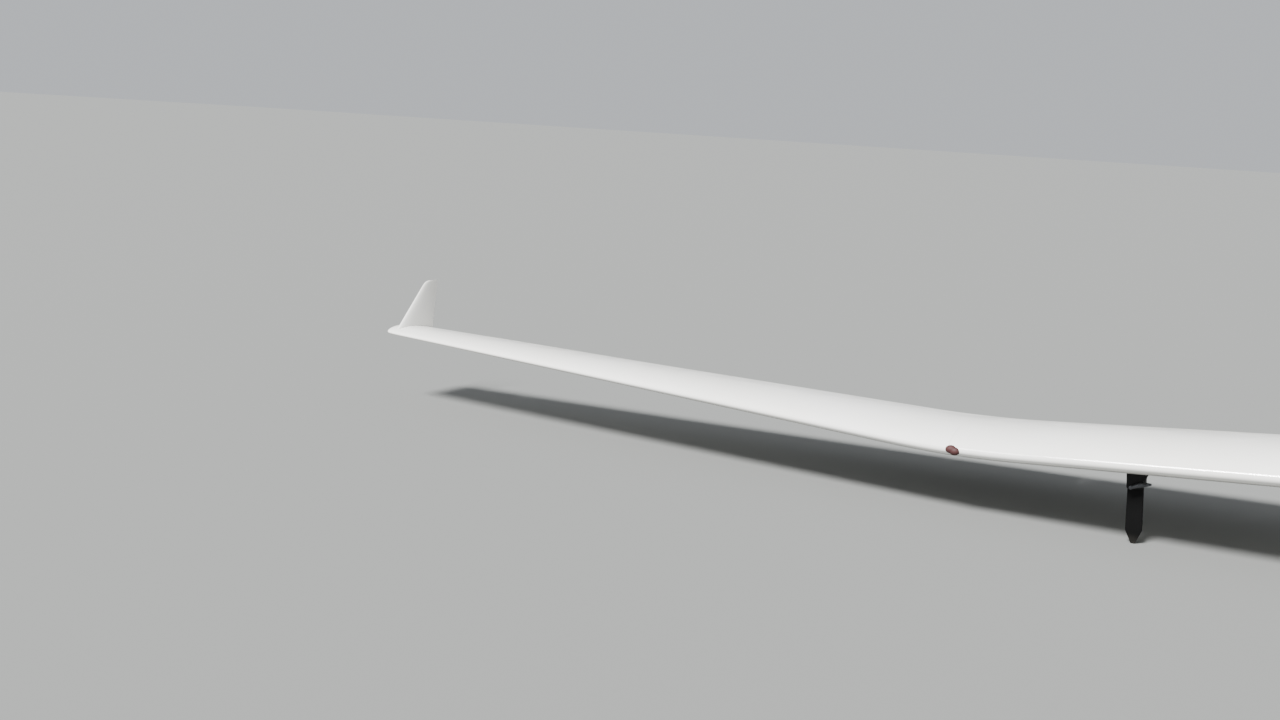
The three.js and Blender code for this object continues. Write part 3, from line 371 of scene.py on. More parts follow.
def lengthwise(x, z, fore, aft, radius, sides=24):
    """A round rod that lies fore and aft."""
    return rod((x, fore, z), (x, aft, z), radius, sides)


shell = skin([pod_ring(row, 0) for row in pod_rows])
root_height = WING_HEIGHT + ROOT["span"] * math.tan(DIHEDRAL)
flare_rings = []
for span, grow, swell in refine(reversed(FLARE), 5):
    points = airfoil(ROOT["chord"] + grow, ROOT["thick"] * swell, CAMBER, ROOT["pitch"])
    flare_rings.append([(span, aft, root_height + up) for aft, up in points])
flare = skin(flare_rings)
shell = combine(shell, mirrored(flare), "UNION")
shell = combine(shell, flare, "UNION")
cabin = pod_stretch(*CABIN, WALL)
edge = WELL["half"] + WELL["wall"]
low, high = (-edge, WELL["fore"] - WELL["wall"], WELL["low"]), (edge, WELL["aft"], WELL["top"] + WELL["wall"])
shell = combine(shell, combine(cabin, block(low, high)))
shell = combine(shell, canopy_prism(-CANOPY_GAP))
low, high = (-WELL["half"], WELL["fore"], WELL["low"]), (WELL["half"], WELL["aft"], WELL["top"])
shell = combine(shell, block(low, high))
shell = combine(
    shell, lengthwise(0, AIR_INLET["height"], AIR_INLET["from"], AIR_INLET["to"], AIR_INLET["radius"], 32)
)
x, z = LID_HINGE["x"], LID_HINGE["z"]
for y in LID_HINGE["at"]:
    reach = LID_HINGE["half"] + LID_HINGE["room"]
    shell = combine(shell, lengthwise(x, z, y - reach, y + reach, LID_HINGE["knuckle"] + LID_HINGE["room"]))
    for fore in (y - reach - LUG["long"], y + reach):
        low, aft = (x - LUG["half"], fore, z - LUG["down"]), fore + LUG["long"]
        for high in ((x + LUG["half"], aft, z + LUG["up"]), (x + LUG["foot"], aft, z - LUG["foot_top"])):
            shell = combine(shell, block(low, high), "UNION")
    reach += LUG["long"] / 2
    shell = combine(shell, lengthwise(x, z, y - reach, y + reach, LID_HINGE["pin"]), "UNION")


def in_pod(place, inset):
    """Whether a point lies inside the pod's wall."""
    row = row_at(pod_rows, place.y)
    if row is None:
        return False
    across = place.x / (row[2] - inset)
    over = (place.z - row[1]) / ((row[3] if place.z > row[1] else row[4]) - inset)
    return abs(across) ** SQUARENESS + abs(over) ** SQUARENESS < 1


SKIN_DEEP = 2  # a face whose middle lies deeper than this is not part of the outer skin
for face in shell.faces:
    middle = face.calc_center_median()
    if abs(middle.x) < edge and WELL["fore"] - 1 < middle.y < WELL["aft"] + 1 and middle.z < WELL["top"] + 1:
        face.material_index = 2 if in_pod(middle, SKIN_DEEP) else 0
    elif CABIN[0] - 1 < middle.y < CABIN[1] + 1 and in_pod(middle, SKIN_DEEP):
        face.material_index = 1
park(shell, "fuselage_shell", [gelcoat, cockpit_paint, well_primer], "airframe", "fuselage")

# Seat pan: a moulded shell that the pilot lies back in, sprayed like the cockpit walls and bonded along their
# sides. Its back leans on the rear bulkhead under the deck.
SEAT_SIDE = [
    (-1130, 462), (-1100, 476), (-820, 430), (-600, 436), (-345, 842), (-330, 834), (-590, 420), (-822, 414)
]
SEAT_HALF = 225
FIT = 0.3
room = pod_stretch(*CABIN, WALL + FIT)
seat_pan = combine(plate("side", SEAT_SIDE, 12, -SEAT_HALF, 2 * SEAT_HALF, segments=6), room, "INTERSECT")
park(soften(seat_pan, 2), "seat_pan_shell", [cockpit_paint], "airframe", "seat_pan")

# Upholstery: two foam mats in grey woven wool cloth lie on the seat pan, sewn across into channels, and a
# padded headrest is strapped to its post.
upholstery = mottled(
    "grey_wool_upholstery", "cloth", "2a2e36", "565b65", 5, 5, (0.3, 0.7),
    IOR=1.5, Roughness=0.92, Sheen_Weight=0.35, Sheen_Roughness=0.5,
)
place = add(upholstery, "TexCoord", {}).outputs["Object"]
THREAD = per_metre(4) * math.pi / 10  # a wave texture's bands are 20 radians of its scale apart
wave = {"Vector": place, "Scale": THREAD, "Distortion": 0.3}
warp, weft = (add(upholstery, "TexWave", wave, bands_direction=way).outputs["Fac"] for way in "XZ")
weave = add(upholstery, "Math", {0: warp, 1: weft}, operation="MULTIPLY").outputs["Value"]
relief = add(upholstery, "Bump", {"Height": weave, "Strength": 0.35, "Distance": 0.0005})
shade(upholstery, Normal=relief.outputs["Normal"])

MAT_HALF = 166
MAT_CORNER = 8
SWELL = 5  # how far the foam may press a mat's cloth out
SEAT_MAT = [(-1052, 476), (-1040, 494), (-830, 460), (-668, 464), (-622, 452), (-640, 438), (-820, 436)]
BACK_MAT = [(-640, 486), (-422, 792), (-392, 776), (-596, 452)]
PRESSURE, STIFFNESS, CLOTH_STEPS = 4, 40, 20


def stuffed(shape, name, node, swell, voxel=0.006):
    """A cushion: cloth simulated under the foam's pressure. No point moves further than the swell."""
    piece = park(shape, name, [upholstery], "airframe", node, sharp=180)
    remesh = piece.modifiers.new("remesh", "REMESH")
    remesh.mode, remesh.voxel_size = "VOXEL", voxel
    base = bpy.data.meshes.new_from_object(piece.evaluated_get(bpy.context.evaluated_depsgraph_get()))
    piece.modifiers.clear()
    rough, piece.data = piece.data, base
    base.name = name
    bpy.data.meshes.remove(rough)
    cloth = piece.modifiers.new("cloth", "CLOTH")
    cloth.settings.use_pressure = True
    cloth.settings.uniform_pressure_force = PRESSURE
    cloth.settings.effector_weights.gravity = 0
    cloth.settings.tension_stiffness = STIFFNESS
    for step in range(1, CLOTH_STEPS + 1):
        bpy.context.scene.frame_set(step)
    grown = bpy.data.meshes.new_from_object(piece.evaluated_get(bpy.context.evaluated_depsgraph_get()))
    for point, moved in zip(base.vertices, grown.vertices):
        step = moved.co - point.co
        point.co += step * min(1, swell / 1000 / max(step.length, 1e-9))
    bpy.data.meshes.remove(grown)
    piece.modifiers.clear()
    bpy.context.scene.frame_set(1)
    base.shade_smooth()
    return piece


def sewn(piece, lines, depth, reach=14):
    """Pulls a cushion in along its seams: each is a point, a direction across it and one out of the cloth."""
    for point in piece.data.vertices:
        level = parked.inverted() @ point.co
        pull = 0
        for at, across, out in lines:
            off = (level - at).dot(across) / reach
            pull = max(pull, math.exp(-off * off))
        point.co = parked @ (level - out * depth * pull)
    smooth = piece.modifiers.new("rounded", "SUBSURF")
    smooth.levels = smooth.render_levels = 1
    return piece


seat_mat = plate("side", SEAT_MAT, MAT_CORNER, -MAT_HALF, 2 * MAT_HALF)
seat_mat = stuffed(seat_mat, "seat_mat", "seat_cushion", SWELL)
back_mat = plate("side", BACK_MAT, MAT_CORNER, -MAT_HALF, 2 * MAT_HALF)
back_mat = stuffed(back_mat, "back_mat", "seat_cushion", SWELL)
headrest = soften(plate("front", oblong((-82, 849), (82, 951)), 28, -327, 44), MAT_CORNER)
headrest = stuffed(headrest, "padded_headrest", "headrest", 4)
aft, up = Vector((0, 1, 0)), Vector((0, 0, 1))
sewn(seat_mat, [(Vector((0, y, 470)), aft, up) for y in (-960, -880, -800, -720)], 7)
lean_back, away = Vector((0, 218, 306)).normalized(), Vector((0, -306, 218)).normalized()
back_foot = Vector((0, -640, 486))
sewn(back_mat, [(back_foot + lean_back * step, lean_back, away) for step in (75, 150, 225, 300)], 7)
sewn(headrest, [(Vector((0, -305, 900)), up, -aft)], 5)

# Harness: flat polyester webbing, two shoulder straps from the bulkhead and two lap straps from the pan's
# sides, meeting in a steel turn buckle on the seat mat.
WEBBING_WIDE, WEBBING_THICK = 44, 2
webbing = new_finish("blue_polyester_webbing", "cloth", IOR=1.5, Roughness=0.7, Sheen_Weight=0.2)
wave = {"Vector": add(webbing, "UVMap", {}).outputs["UV"], "Scale": 2.8, "Distortion": 0.1}
ribs = add(webbing, "TexWave", wave, bands_direction="X").outputs["Fac"]
tint = add(webbing, "ValToRGB", {"Fac": ribs})
tint.color_ramp.elements[0].color, tint.color_ramp.elements[1].color = colour("17233d"), colour("2d4068")
relief = add(webbing, "Bump", {"Height": ribs, "Strength": 0.6, "Distance": 0.0006})
shade(webbing, Base_Color=tint.outputs["Color"], Normal=relief.outputs["Normal"])


def strap(points, across, name, wide=WEBBING_WIDE):
    """A flat strap along a smooth line through points, lying across a direction, with ribs along it."""
    line = refine(points, 5)
    across = Vector(across).normalized()
    rings = []
    for before, here, after in zip([line[0], *line], line, [*line[1:], line[-1]]):
        along = (after - before).normalized()
        over = along.cross(across).normalized() * WEBBING_THICK / 2
        side = over.cross(along).normalized() * wide / 2
        rings.append([here + side + over, here - side + over, here - side - over, here + side - over])
    shape = skin(rings)
    marks = shape.loops.layers.uv.new("UVMap")
    for face in shape.faces:
        for corner in face.loops:
            near = min(range(len(line)), key=lambda n: (line[n] - corner.vert.co).length)
            ring = rings[near]
            share = (corner.vert.co - ring[1]).dot((ring[0] - ring[1]).normalized()) / wide
            corner[marks].uv = (share, near / 4)
    return park(shape, name, [webbing], "airframe", sharp=40)


SHOULDER_STRAP = [  # out from the middle, aft, up
    (62, -322, 834), (64, -372, 836), (66, -412, 812), (66, -455, 764),
    (62, -540, 640), (52, -610, 545), (38, -668, 497), (24, -708, 485),
]
LAP_STRAP = [
    (214, -600, 452), (196, -612, 470), (172, -630, 484), (140, -660, 487), (90, -700, 481), (34, -722, 482)
]
for side, sign in (("left", 1), ("right", -1)):
    strap([(sign * out, *rest) for out, *rest in SHOULDER_STRAP], (1, 0, 0), f"shoulder_strap_{side}")
    strap([(sign * out, *rest) for out, *rest in LAP_STRAP], (0.1 * sign, 1, 0), f"lap_strap_{side}")

# Buckle: forged steel, bright zinc plated and scratched by its straps' tongues, with a bar to turn it by.
bright_steel = mottled(
    "bright_zinc_steel", "steel", "85898e", "b4b8bb", 8, 6, polish=(0.22, 0.45),
    Metallic=1, Roughness=0.3, Base_Color=colour("a4a8ac"),
)
buckle = soften(rod((0, -716, 486), (0, -719, 502), 27, 40), 3)
turn_bar = soften(plate("top", oblong((-30, -724), (30, -710)), 5, 501, 7), 1.5)
park(combine(buckle, turn_bar, "UNION"), "harness_buckle", [bright_steel], "airframe")

# Rear deck: a plain painted shelf behind the pilot's head, with the post that carries the headrest.
deck = soften(plate("front", oblong((-260, 800), (260, 812)), 4, -268, 150), 1.5)
post = plate("front", oblong((-40, 811), (40, 930)), 14, -268, 12)
park(combine(deck, post, "UNION"), "rear_deck_shelf", [cockpit_paint], "airframe", "rear_deck")

# Instrument pod: a black crackle-painted glass fibre mushroom on a column between the pilot's shins, with
# round instruments let into its face and held by four screws each. Faces carry plain ticks only.
PANEL_FACE = -1430
PANEL = [(-150, 640), (150, 640), (165, 770), (90, 838), (-90, 838), (-165, 770)]
COLUMN = [(-55, 462), (55, 462), (45, 660), (-45, 660)]
crackle = new_finish("black_crackle_paint", "trim", IOR=1.5, Roughness=0.6)
place = add(crackle, "TexCoord", {}).outputs["Object"]
cells = add(crackle, "TexVoronoi", {"Vector": place, "Scale": per_metre(2.5)}, feature="SMOOTH_F1")
cells = cells.outputs["Distance"]
tint = add(crackle, "ValToRGB", {"Fac": cells})
tint.color_ramp.elements[0].color, tint.color_ramp.elements[1].color = colour("141416"), colour("26272a")
relief = add(crackle, "Bump", {"Height": cells, "Strength": 0.5, "Distance": 0.0008})
shade(crackle, Base_Color=tint.outputs["Color"], Normal=relief.outputs["Normal"])
pod = soften(plate("front", PANEL, 30, -1500, 70, segments=8), 6, 3)
pod = combine(pod, soften(plate("front", COLUMN, 12, -1490, 50), 5), "UNION")
park(pod, "instrument_pod_body", [crackle], "airframe", "instrument_pod")

# Dial finishes: the faces are sprayed matt black with a fine grit against glare, and their marks are printed
# in ivory ink. The glasses are flat and faintly dusty, and the bezels are moulded in satin black.
dial_black = mottled(
    "matt_dial_black", "black_plastic", "09090a", "121213", 3, 3, grain=(0.8, 2, 0.25, 0.0002), Roughness=0.8
)
dial_white = mottled("white_dial_marks", "gelcoat", "e6e5da", "f6f6ee", 4, 3, Roughness=0.6)
dial_glass = mottled(
    "dial_glass", "canopy_glazing", "1c1f21", "2c2f31", 18, 5, polish=(0.0, 0.08), IOR=1.5, Alpha=0.12
)
bezel_black = mottled(
    "satin_black_bezel", "black_plastic", "161617", "202022", 12, polish=(0.3, 0.46),
    grain=(1.2, 2, 0.15, 0.0003),
)
DIALS = [  # across, up, radius, ticks, pointer's angle in degrees
    (-58, 768, 40, 12, 215), (58, 768, 40, 10, 90),
    (0, 684, 28.5, 8, 90), (-96, 684, 28.5, 12, 300), (96, 684, 28.5, 9, 20),
]
BEZEL = [(0.2, -4), (0.2, 4), (3, 4), (5, 2), (5, -1), (2, -4)]  # out of the panel, and out past the radius
FIRST_TICK, TICK_SWEEP = 240, 300


def hand(x, z, angle, near, far, wide, depth):
    """A flat bar on a dial, from one radius to another."""
    out = Vector((math.cos(angle), 0, math.sin(angle)))
    side = Vector((-math.sin(angle), 0, math.cos(angle))) * wide / 2
    centre = Vector((x, PANEL_FACE, z))
    inner, outer = centre + out * near, centre + out * far
    corners = [inner + side, outer + side, outer - side, inner - side]
    return skin([[c + Vector((0, start, 0)) for c in corners] for start in (depth, depth + 0.6)])


def gather(shapes):
    """Several loose shapes as one, with nothing cut or joined."""
    whole = bmesh.new()
    for shape in shapes:
        mesh = bpy.data.meshes.new("rough")
        shape.to_mesh(mesh)
        shape.free()
        whole.from_mesh(mesh)
        bpy.data.meshes.remove(mesh)
    return whole


def turned(profile, start, axis, steps=48):
    """A closed profile turned round an axis. Its points are distances along the axis and out from it."""
    axis = Vector(axis).normalized()
    out = axis.orthogonal().normalized()
    shape = bmesh.new()
    corners = [shape.verts.new(Vector(start) + axis * along + out * radius) for along, radius in profile]
    edges = [shape.edges.new(pair) for pair in zip(corners, corners[1:] + corners[:1])]
    bmesh.ops.spin(
        shape, geom=corners + edges, cent=start, axis=axis, dvec=(0, 0, 0), angle=math.tau, steps=steps,
        use_merge=True, use_duplicate=False,
    )
    bmesh.ops.remove_doubles(shape, verts=shape.verts, dist=0.001)
    bmesh.ops.dissolve_degenerate(shape, edges=shape.edges, dist=0.001)
    bmesh.ops.recalc_face_normals(shape, faces=shape.faces)
    return shape


bezels, faces, marks, glasses, screws = [], [], [], [], []
for x, z, radius, ticks, angle in DIALS:
    bezels.append(turned([(out, radius + past) for out, past in BEZEL], (x, PANEL_FACE, z), (0, 1, 0)))
    faces.append(lengthwise(x, z, PANEL_FACE + 0.2, PANEL_FACE + 1, radius - 3.9, 48))
    glasses.append(lengthwise(x, z, PANEL_FACE + 2.6, PANEL_FACE + 3.2, radius - 3.6, 48))
    for n in range(ticks):
        turn = math.radians(FIRST_TICK - n * TICK_SWEEP / (ticks - 1))
        marks.append(hand(x, z, turn, radius * 0.68, radius * 0.85, 1.6, 0.8))
    marks.append(hand(x, z, math.radians(angle), -radius * 0.2, radius * 0.62, 2.4, 1.5))
    marks.append(lengthwise(x, z, PANEL_FACE + 0.8, PANEL_FACE + 2.4, radius * 0.1))
    for n in range(4):
        turn = math.pi / 4 + n * math.pi / 2
        across, height = x + math.cos(turn) * (radius + 9), z + math.sin(turn) * (radius + 9)
        screws.append(soften(lengthwise(across, height, PANEL_FACE - 0.5, PANEL_FACE + 1.6, 2.6, 16), 0.6))
park(gather(bezels), "dial_bezels", [bezel_black], "airframe")
park(gather(faces), "dial_faces", [dial_black], "airframe")
park(gather(marks), "dial_marks", [dial_white], "airframe")
park(gather(glasses), "dial_glasses", [dial_glass], "airframe")
park(gather(screws), "dial_screws", [bright_steel], "airframe")

# Control stick: a steel tube with a grip moulded in satin black, with dust on it, and a sewn boot at its
# foot. The boot is dyed black cowhide, finely pebbled and dull, with clouds of lighter brown strewn at
# random over it as a painted sheen.
STICK_Y = -1190
satin_black = mottled(
    "satin_black_moulding", "black_plastic", "0f0f10", "1f1f20", 45, grain=(1.5, 2, 0.2, 0.0004),
    IOR=1.5, Roughness=0.5,
)
# Leather: its lighter brown clouds are a painted sheen.
boot_leather = mottled(
    "black_boot_leather", "black_plastic", "131211", "2b2622", 16, 3, IOR=1.5, Roughness=0.6
)
place = add(boot_leather, "TexCoord", {}).outputs["Object"]
pebble = add(boot_leather, "TexVoronoi", {"Vector": place, "Scale": per_metre(1.8)}, feature="SMOOTH_F1")
relief = {"Height": pebble.outputs["Distance"], "Strength": 0.4, "Distance": 0.0005}
shade(boot_leather, Normal=add(boot_leather, "Bump", relief).outputs["Normal"])
BOOT = [  # how far up, and how far out
    (0, 0), (0, 34), (6, 35), (12, 30), (18, 31), (24, 24), (30, 25), (36, 18), (42, 18.5), (50, 12), (50, 0)
]
GRIP = [
    (0, 0), (0, 10), (10, 14), (30, 16), (48, 14.5), (64, 16.5), (84, 16), (100, 17), (110, 13), (114, 6),
    (114, 0),
]


def made_of(shape, number):
    """Gives a shape the finish of that number in its piece's list."""
    for face in shape.faces:
        face.material_index = number
    return shape


stick = [
    made_of(turned(BOOT, (0, STICK_Y, 423), (0, 0, 1)), 2),
    made_of(rod((0, STICK_Y, 440), (0, STICK_Y, 640), 9), 1),
    turned(GRIP, (0, STICK_Y, 621), (0, 0, 1)),
]
finishes = [satin_black, bright_steel, boot_leather]
park(gather(stick), "control_stick_and_boot", finishes, "airframe", "control_stick", sharp=50)

# Rudder pedals: folded plates of satin aluminium, clouded by oxide, with a ribbed tread on a cross tube. They
# slide on a tube along the floor.
satin_alloy = mottled(
    "satin_aluminium", "alloy", "9b9ea2", "c2c4c6", 25, 5, polish=(0.32, 0.52),
    Metallic=1, Roughness=0.4, Base_Color=colour("b4b6b9"),
)


def crosswise(middle, half, radius, sides=24):
    """A round rod that lies from side to side."""
    reach = Vector((half, 0, 0))
    return rod(Vector(middle) - reach, Vector(middle) + reach, radius, sides)


pedals = [crosswise((0, -1737, 565), 72, 9), lengthwise(0, 551, -1740, -1562, 11)]
for x in (-72, 72):
    pedals.append(soften(plate("front", oblong((x - 42, 560), (x + 42, 650)), 14, -1752, 8), 1.5))
    pedals += [crosswise((x, -1744, z), 30, 2, 10) for z in range(576, 646, 12)]
park(gather(pedals), "rudder_pedal_set", [satin_alloy], "airframe", "rudder_pedals")

# Side levers: the airbrake's blue handle on its tube, and the colour-coded knobs of the cable release and
# the trim, on steel rods along the port wall. Their moulded plastic is glossy, and a little duller and paler
# where hands hold it. The red one is dulled by weather, and its red is darkened with painted shade.
PLASTIC = {"size": 14, "IOR": 1.49, "Roughness": 0.35}
WORN, WEATHERED = (0.22, 0.5), (0.6, 0.8)
blue_plastic = mottled("moulded_blue_plastic", "blue_plastic", "1b4484", "2f65b0", polish=WORN, **PLASTIC)
# Red: its colours are darker than the plastic's own, as painted shade from under the wing's nose.
red_plastic = mottled("red_plastic_darkened_as_painted_shade", "red_plastic", "331616", "46211f", polish=WEATHERED, **PLASTIC)
yellow_plastic = mottled("moulded_yellow_plastic", "blue_plastic", "c99a12", "e3b83a", polish=WORN, **PLASTIC)
green_plastic = mottled("moulded_green_plastic", "blue_plastic", "1f6b3a", "3a9158", polish=WORN, **PLASTIC)


def knob(at, size):
    """A turned ball handle."""
    shape = bmesh.new()
    bmesh.ops.create_uvsphere(shape, u_segments=28, v_segments=16, radius=size)
    bmesh.ops.translate(shape, vec=at, verts=shape.verts)
    return shape


lever = [
    made_of(rod((252, -1150, 640), (252, -850, 640), 6), 1),
    rod((258, -1100, 640), (205, -1100, 640), 7),
    knob((200, -1100, 640), 19),
]
finishes = [blue_plastic, bright_steel]
park(gather(lever), "airbrake_lever_handle", finishes, "airframe", "airbrake_lever", sharp=50)
release = [knob((234, -1360, 640), 13), made_of(rod((222, -1300, 640), (238, -1378, 640), 3), 1)]
park(gather(release), "cable_release_knob", [yellow_plastic, bright_steel], "airframe", sharp=50)
trim = [knob((235, -900, 560), 12), made_of(rod((245, -900, 556), (283, -900, 540), 3), 1)]
park(gather(trim), "trim_knob", [green_plastic, bright_steel], "airframe", sharp=50)

# Coaming: a glass fibre rim bonded round the inside of the opening, sprayed like the cockpit walls. The
# closed canopy frame lies on it, and it closes the gap between the two mouldings.
LID_STRETCH = (-1900, 0)
RIM = {"skin": 11.9, "seat": 20, "deep": 23, "out": -15, "edge": -5, "in": 12}


def pod_layer(outer, inner):
    """A layer of the pod's wall round the canopy, between two depths."""
    return combine(pod_stretch(*LID_STRETCH, outer), pod_stretch(*LID_STRETCH, inner))


def rim_band(depths, insets):
    """A band of the pod's wall between two depths, and between two outlines round the canopy."""
    band = combine(pod_layer(*depths), canopy_prism(insets[0]), "INTERSECT")
    return combine(band, canopy_prism(insets[1]))


rim = rim_band((RIM["skin"], RIM["deep"]), (RIM["out"], RIM["edge"]))
rim = combine(rim, rim_band((RIM["seat"], RIM["deep"]), (RIM["out"], RIM["in"])), "UNION")
park(rim, "cockpit_coaming", [cockpit_paint], "airframe")

# Canopy frame: a moulded glass fibre ring that closes flush with the pod, finished like it, with the
# knuckles of its two starboard hinges.
FRAME_WIDE, FRAME_DEEP = 34, 16
LEAF_LONG, PIN_HOLE, PIN_PAST = 26, 3.6, 9
ring = combine(pod_layer(0, FRAME_DEEP), canopy_prism(0), "INTERSECT")
ring = combine(ring, canopy_prism(FRAME_WIDE))
x, z, knuckle = LID_HINGE["x"], LID_HINGE["z"], LID_HINGE["knuckle"]
for y in LID_HINGE["at"]:
    fore, rear = y - LID_HINGE["half"], y + LID_HINGE["half"]
    leaf = block((x, fore, z - 1), (x + LEAF_LONG, rear, z + knuckle))
    leaf = combine(lengthwise(x, z, fore, rear, knuckle), leaf, "UNION")
    leaf = combine(leaf, lengthwise(x, z, fore - PIN_PAST, rear + PIN_PAST, PIN_HOLE))
    ring = combine(ring, leaf, "UNION")
park(ring, "canopy_ring", [gelcoat], "canopy", "canopy_frame")

# Canopy: a blown acrylic bubble bonded into the frame, clear with a faint cool tint, with a sliding vent
# panel in its port side and a small locking lever on the frame.
acrylic = new_finish(
    "blown_acrylic", "canopy_glazing", IOR=1.49, Transmission_Weight=1, Roughness=0.01,
    Base_Color=colour("eaf2f5"),
)
place = add(acrylic, "TexCoord", {}).outputs["Object"]
haze = add(acrylic, "TexNoise", {"Vector": place, "Scale": per_metre(120), "Detail": 3}).outputs["Fac"]
dull = {"Value": haze, "From Min": 0.4, "From Max": 0.8, "To Min": 0.0, "To Max": 0.04}
shade(acrylic, Roughness=add(acrylic, "MapRange", dull).outputs["Result"])
bubble = combine(pod_layer(1, 6), canopy_prism(FRAME_WIDE + FIT), "INTERSECT")
park(bubble, "canopy_bubble", [acrylic], "canopy", "canopy_glass")

VENT_FROM, VENT_TO, VENT_CORNER, RAIL_WIDE = (-1265, 798), (-1065, 894), 26, 9


def vent(inset):
    """The vent panel's outline, as a prism through the port side."""
    (fore, low), (aft, high) = VENT_FROM, VENT_TO
    corners = oblong((fore + inset, low + inset), (aft - inset, high - inset))
    return plate("side", corners, VENT_CORNER - inset, 50 - inset, 400)


rail = combine(combine(vent(0), vent(RAIL_WIDE)), pod_layer(-1.2, 0.9), "INTERSECT")
park(rail, "vent_panel_rails", [acrylic], "canopy")
lock = [made_of(rod((262, -1180, 757), (240, -1180, 757), 5), 1), knob((232, -1180, 757), 11)]
park(gather(lock), "canopy_lock", [red_plastic, bright_steel], "canopy", sharp=50)

# Fin: part of the fuselage moulding, with a strake swept into the boom and a blunt rear edge that the rudder
# turns in. The tailplane sits on its top.
FIN = [  # height, nose, thickness share
    (262, 3020, 0.06), (430, 3080, 0.07), (505, 3230, 0.078), (550, 3400, 0.088), (620, 3490, 0.098),
    (760, 3557, 0.103), (1484, 3806, 0.105),
]
FIN_TAIL, FIN_RAKE = 4385, 0.045
FIN_FOOT = 380
RUDDER_LINE = [Vector((0, 4082, 268)), Vector((0, 4136, 1415))]
TAILPLANE = [(0, 3835, 500), (1262, 3986, 304), (1296, 4004, 268), (1312, 4030, 212)]  # span, nose, chord
TAILPLANE_HEIGHT, TAILPLANE_THICK = 1492, 0.115
NOSE_GAP, END_GAP = 8, 6  # room round a moving surface's rounded nose, and at its ends
NOSE_SHARE = 0.94  # a moving surface's nose radius as a share of its half thickness


def half_thickness(chord, thick, f):
    """Half the thickness of a wing section at a share of its chord."""
    return 5 * thick * chord * section_swell(f)


def moved(shape, *way):
    """A copy of a shape, shifted a little."""
    twin = shape.copy()
    bmesh.ops.translate(twin, vec=way, verts=twin.verts)
    return twin


def moving_part(start, end, radii, grow=0, past=(0, 0)):
    """All that lies aft of a hinge line, and a round nose on the line: what belongs to a moving surface."""
    along = (end - start).normalized()
    aft = Vector((0, 1, 0))
    aft = (aft - along * aft.dot(along)).normalized()
    turn = Matrix((along, aft, along.cross(aft))).transposed().to_4x4()
    low, high = -past[0], (end - start).length + past[1]
    shape = block((low, 0, -150), (high, 900, 150))
    shape = combine(shape, rod((low, 0, 0), (high, 0, 0), radii[0] + grow, 40, radii[1] + grow), "UNION")
    bmesh.ops.transform(shape, matrix=Matrix.Translation(start) @ turn, verts=shape.verts)
    return shape


def fin_row(z):
    """The fin's nose, chord and thickness share at a height."""
    _, nose, thick = row_at(fin_rows, z)
    return nose, FIN_TAIL + FIN_RAKE * z - nose, thick


def fin_half(share):
    """Half the fin's thickness at a share of the rudder's hinge line."""
    _, y, z = RUDDER_LINE[0].lerp(RUDDER_LINE[1], share)
    nose, chord, thick = fin_row(z)
    return half_thickness(chord, thick, (y - nose) / chord)


fin_rows = refine(FIN, 4)
fin_rings = []
for z, nose, thick in fin_rows:
    points = airfoil(FIN_TAIL + FIN_RAKE * z - nose, thick)
    fin_rings.append([(-side, nose + back, z) for back, side in points])
fin_whole = skin(fin_rings)
rudder_nose = [max(fin_half(share / 10) for share in range(11)) * NOSE_SHARE] * 2
rudder = combine(fin_whole.copy(), moving_part(*RUDDER_LINE, rudder_nose), "INTERSECT")
fin = combine(fin_whole.copy(), moving_part(*RUDDER_LINE, rudder_nose, NOSE_GAP, (END_GAP, END_GAP)))
fin = combine(fin, block((-400, 3000, 0), (400, 5000, FIN_FOOT)))
fin = combine(fin, block((-400, RUDDER_LINE[1].y + 10, 0), (400, 5000, 1600)))
boom_skin = pod_stretch(1300, 4028, -FIT)
fin = combine(fin, boom_skin.copy())


def tail_ring(across):
    """The tailplane's section at a distance from the middle."""
    _, nose, chord = row_at(tail_rows, abs(across))
    return [(across, nose + back, TAILPLANE_HEIGHT + up) for back, up in airfoil(chord, TAILPLANE_THICK)]


tail_rows = [Vector(TAILPLANE[0]), *refine(TAILPLANE[1:], 5)]
spans = [row[0] for row in tail_rows]
tail_whole = skin([tail_ring(across) for across in [-span for span in spans[:0:-1]] + spans])
fin = combine(combine(fin, moved(tail_whole, 0, 0, -2 * FIT)), tail_whole.copy())
park(fin, "tail_fin", [gelcoat], "airframe", "fin")

# Rudder: a light foam sandwich shell on two hinges, with its round nose in the fin's hollow rear edge.
park(rudder, "rudder_shell", [gelcoat], "rudder", "rudder")

# Tailplane and elevator: foam sandwich again. The tailplane is held down by one bolt ahead of the fin's top,
# and the elevator is one piece from tip to tip.
ELEVATOR_LINE_Y = 4190
ELEVATOR_END = 1242
ends = []
for span in (0, ELEVATOR_END):
    _, nose, chord = row_at(tail_rows, span)
    ends.append(half_thickness(chord, TAILPLANE_THICK, (ELEVATOR_LINE_Y - nose) / chord) * NOSE_SHARE)
line = [Vector((span, ELEVATOR_LINE_Y, TAILPLANE_HEIGHT)) for span in (0, ELEVATOR_END)]


def elevator_part(grow, past):
    """Both halves of the elevator, whose nose tapers towards each tip."""
    port = moving_part(*line, ends, grow, (0.02, past))
    return combine(mirrored(port), port, "UNION")


elevator = combine(tail_whole.copy(), elevator_part(0, 0), "INTERSECT")
park(elevator, "elevator_shell", [gelcoat], "elevator", "elevator")
tailplane = combine(tail_whole, elevator_part(NOSE_GAP, END_GAP))
park(tailplane, "tailplane_shell", [gelcoat], "airframe", "tailplane")
bolt = soften(rod((0, 3905, 1516), (0, 3905, 1521), 8, 32), 1.5)
park(bolt, "tailplane_bolt", [bright_steel], "airframe")

# Energy probe: a thin steel tube out of the fin's nose with a bent tip, held by a turned collar.
PROBE_HEIGHT, PROBE_REACH, PROBE_RADIUS = 1130, 370, 5
PROBE_BEND = [(0, 0), (0.25, 0), (0.5, 0), (0.75, 0), (0.88, 2), (0.95, 7), (1, 14)]  # share of reach, lift


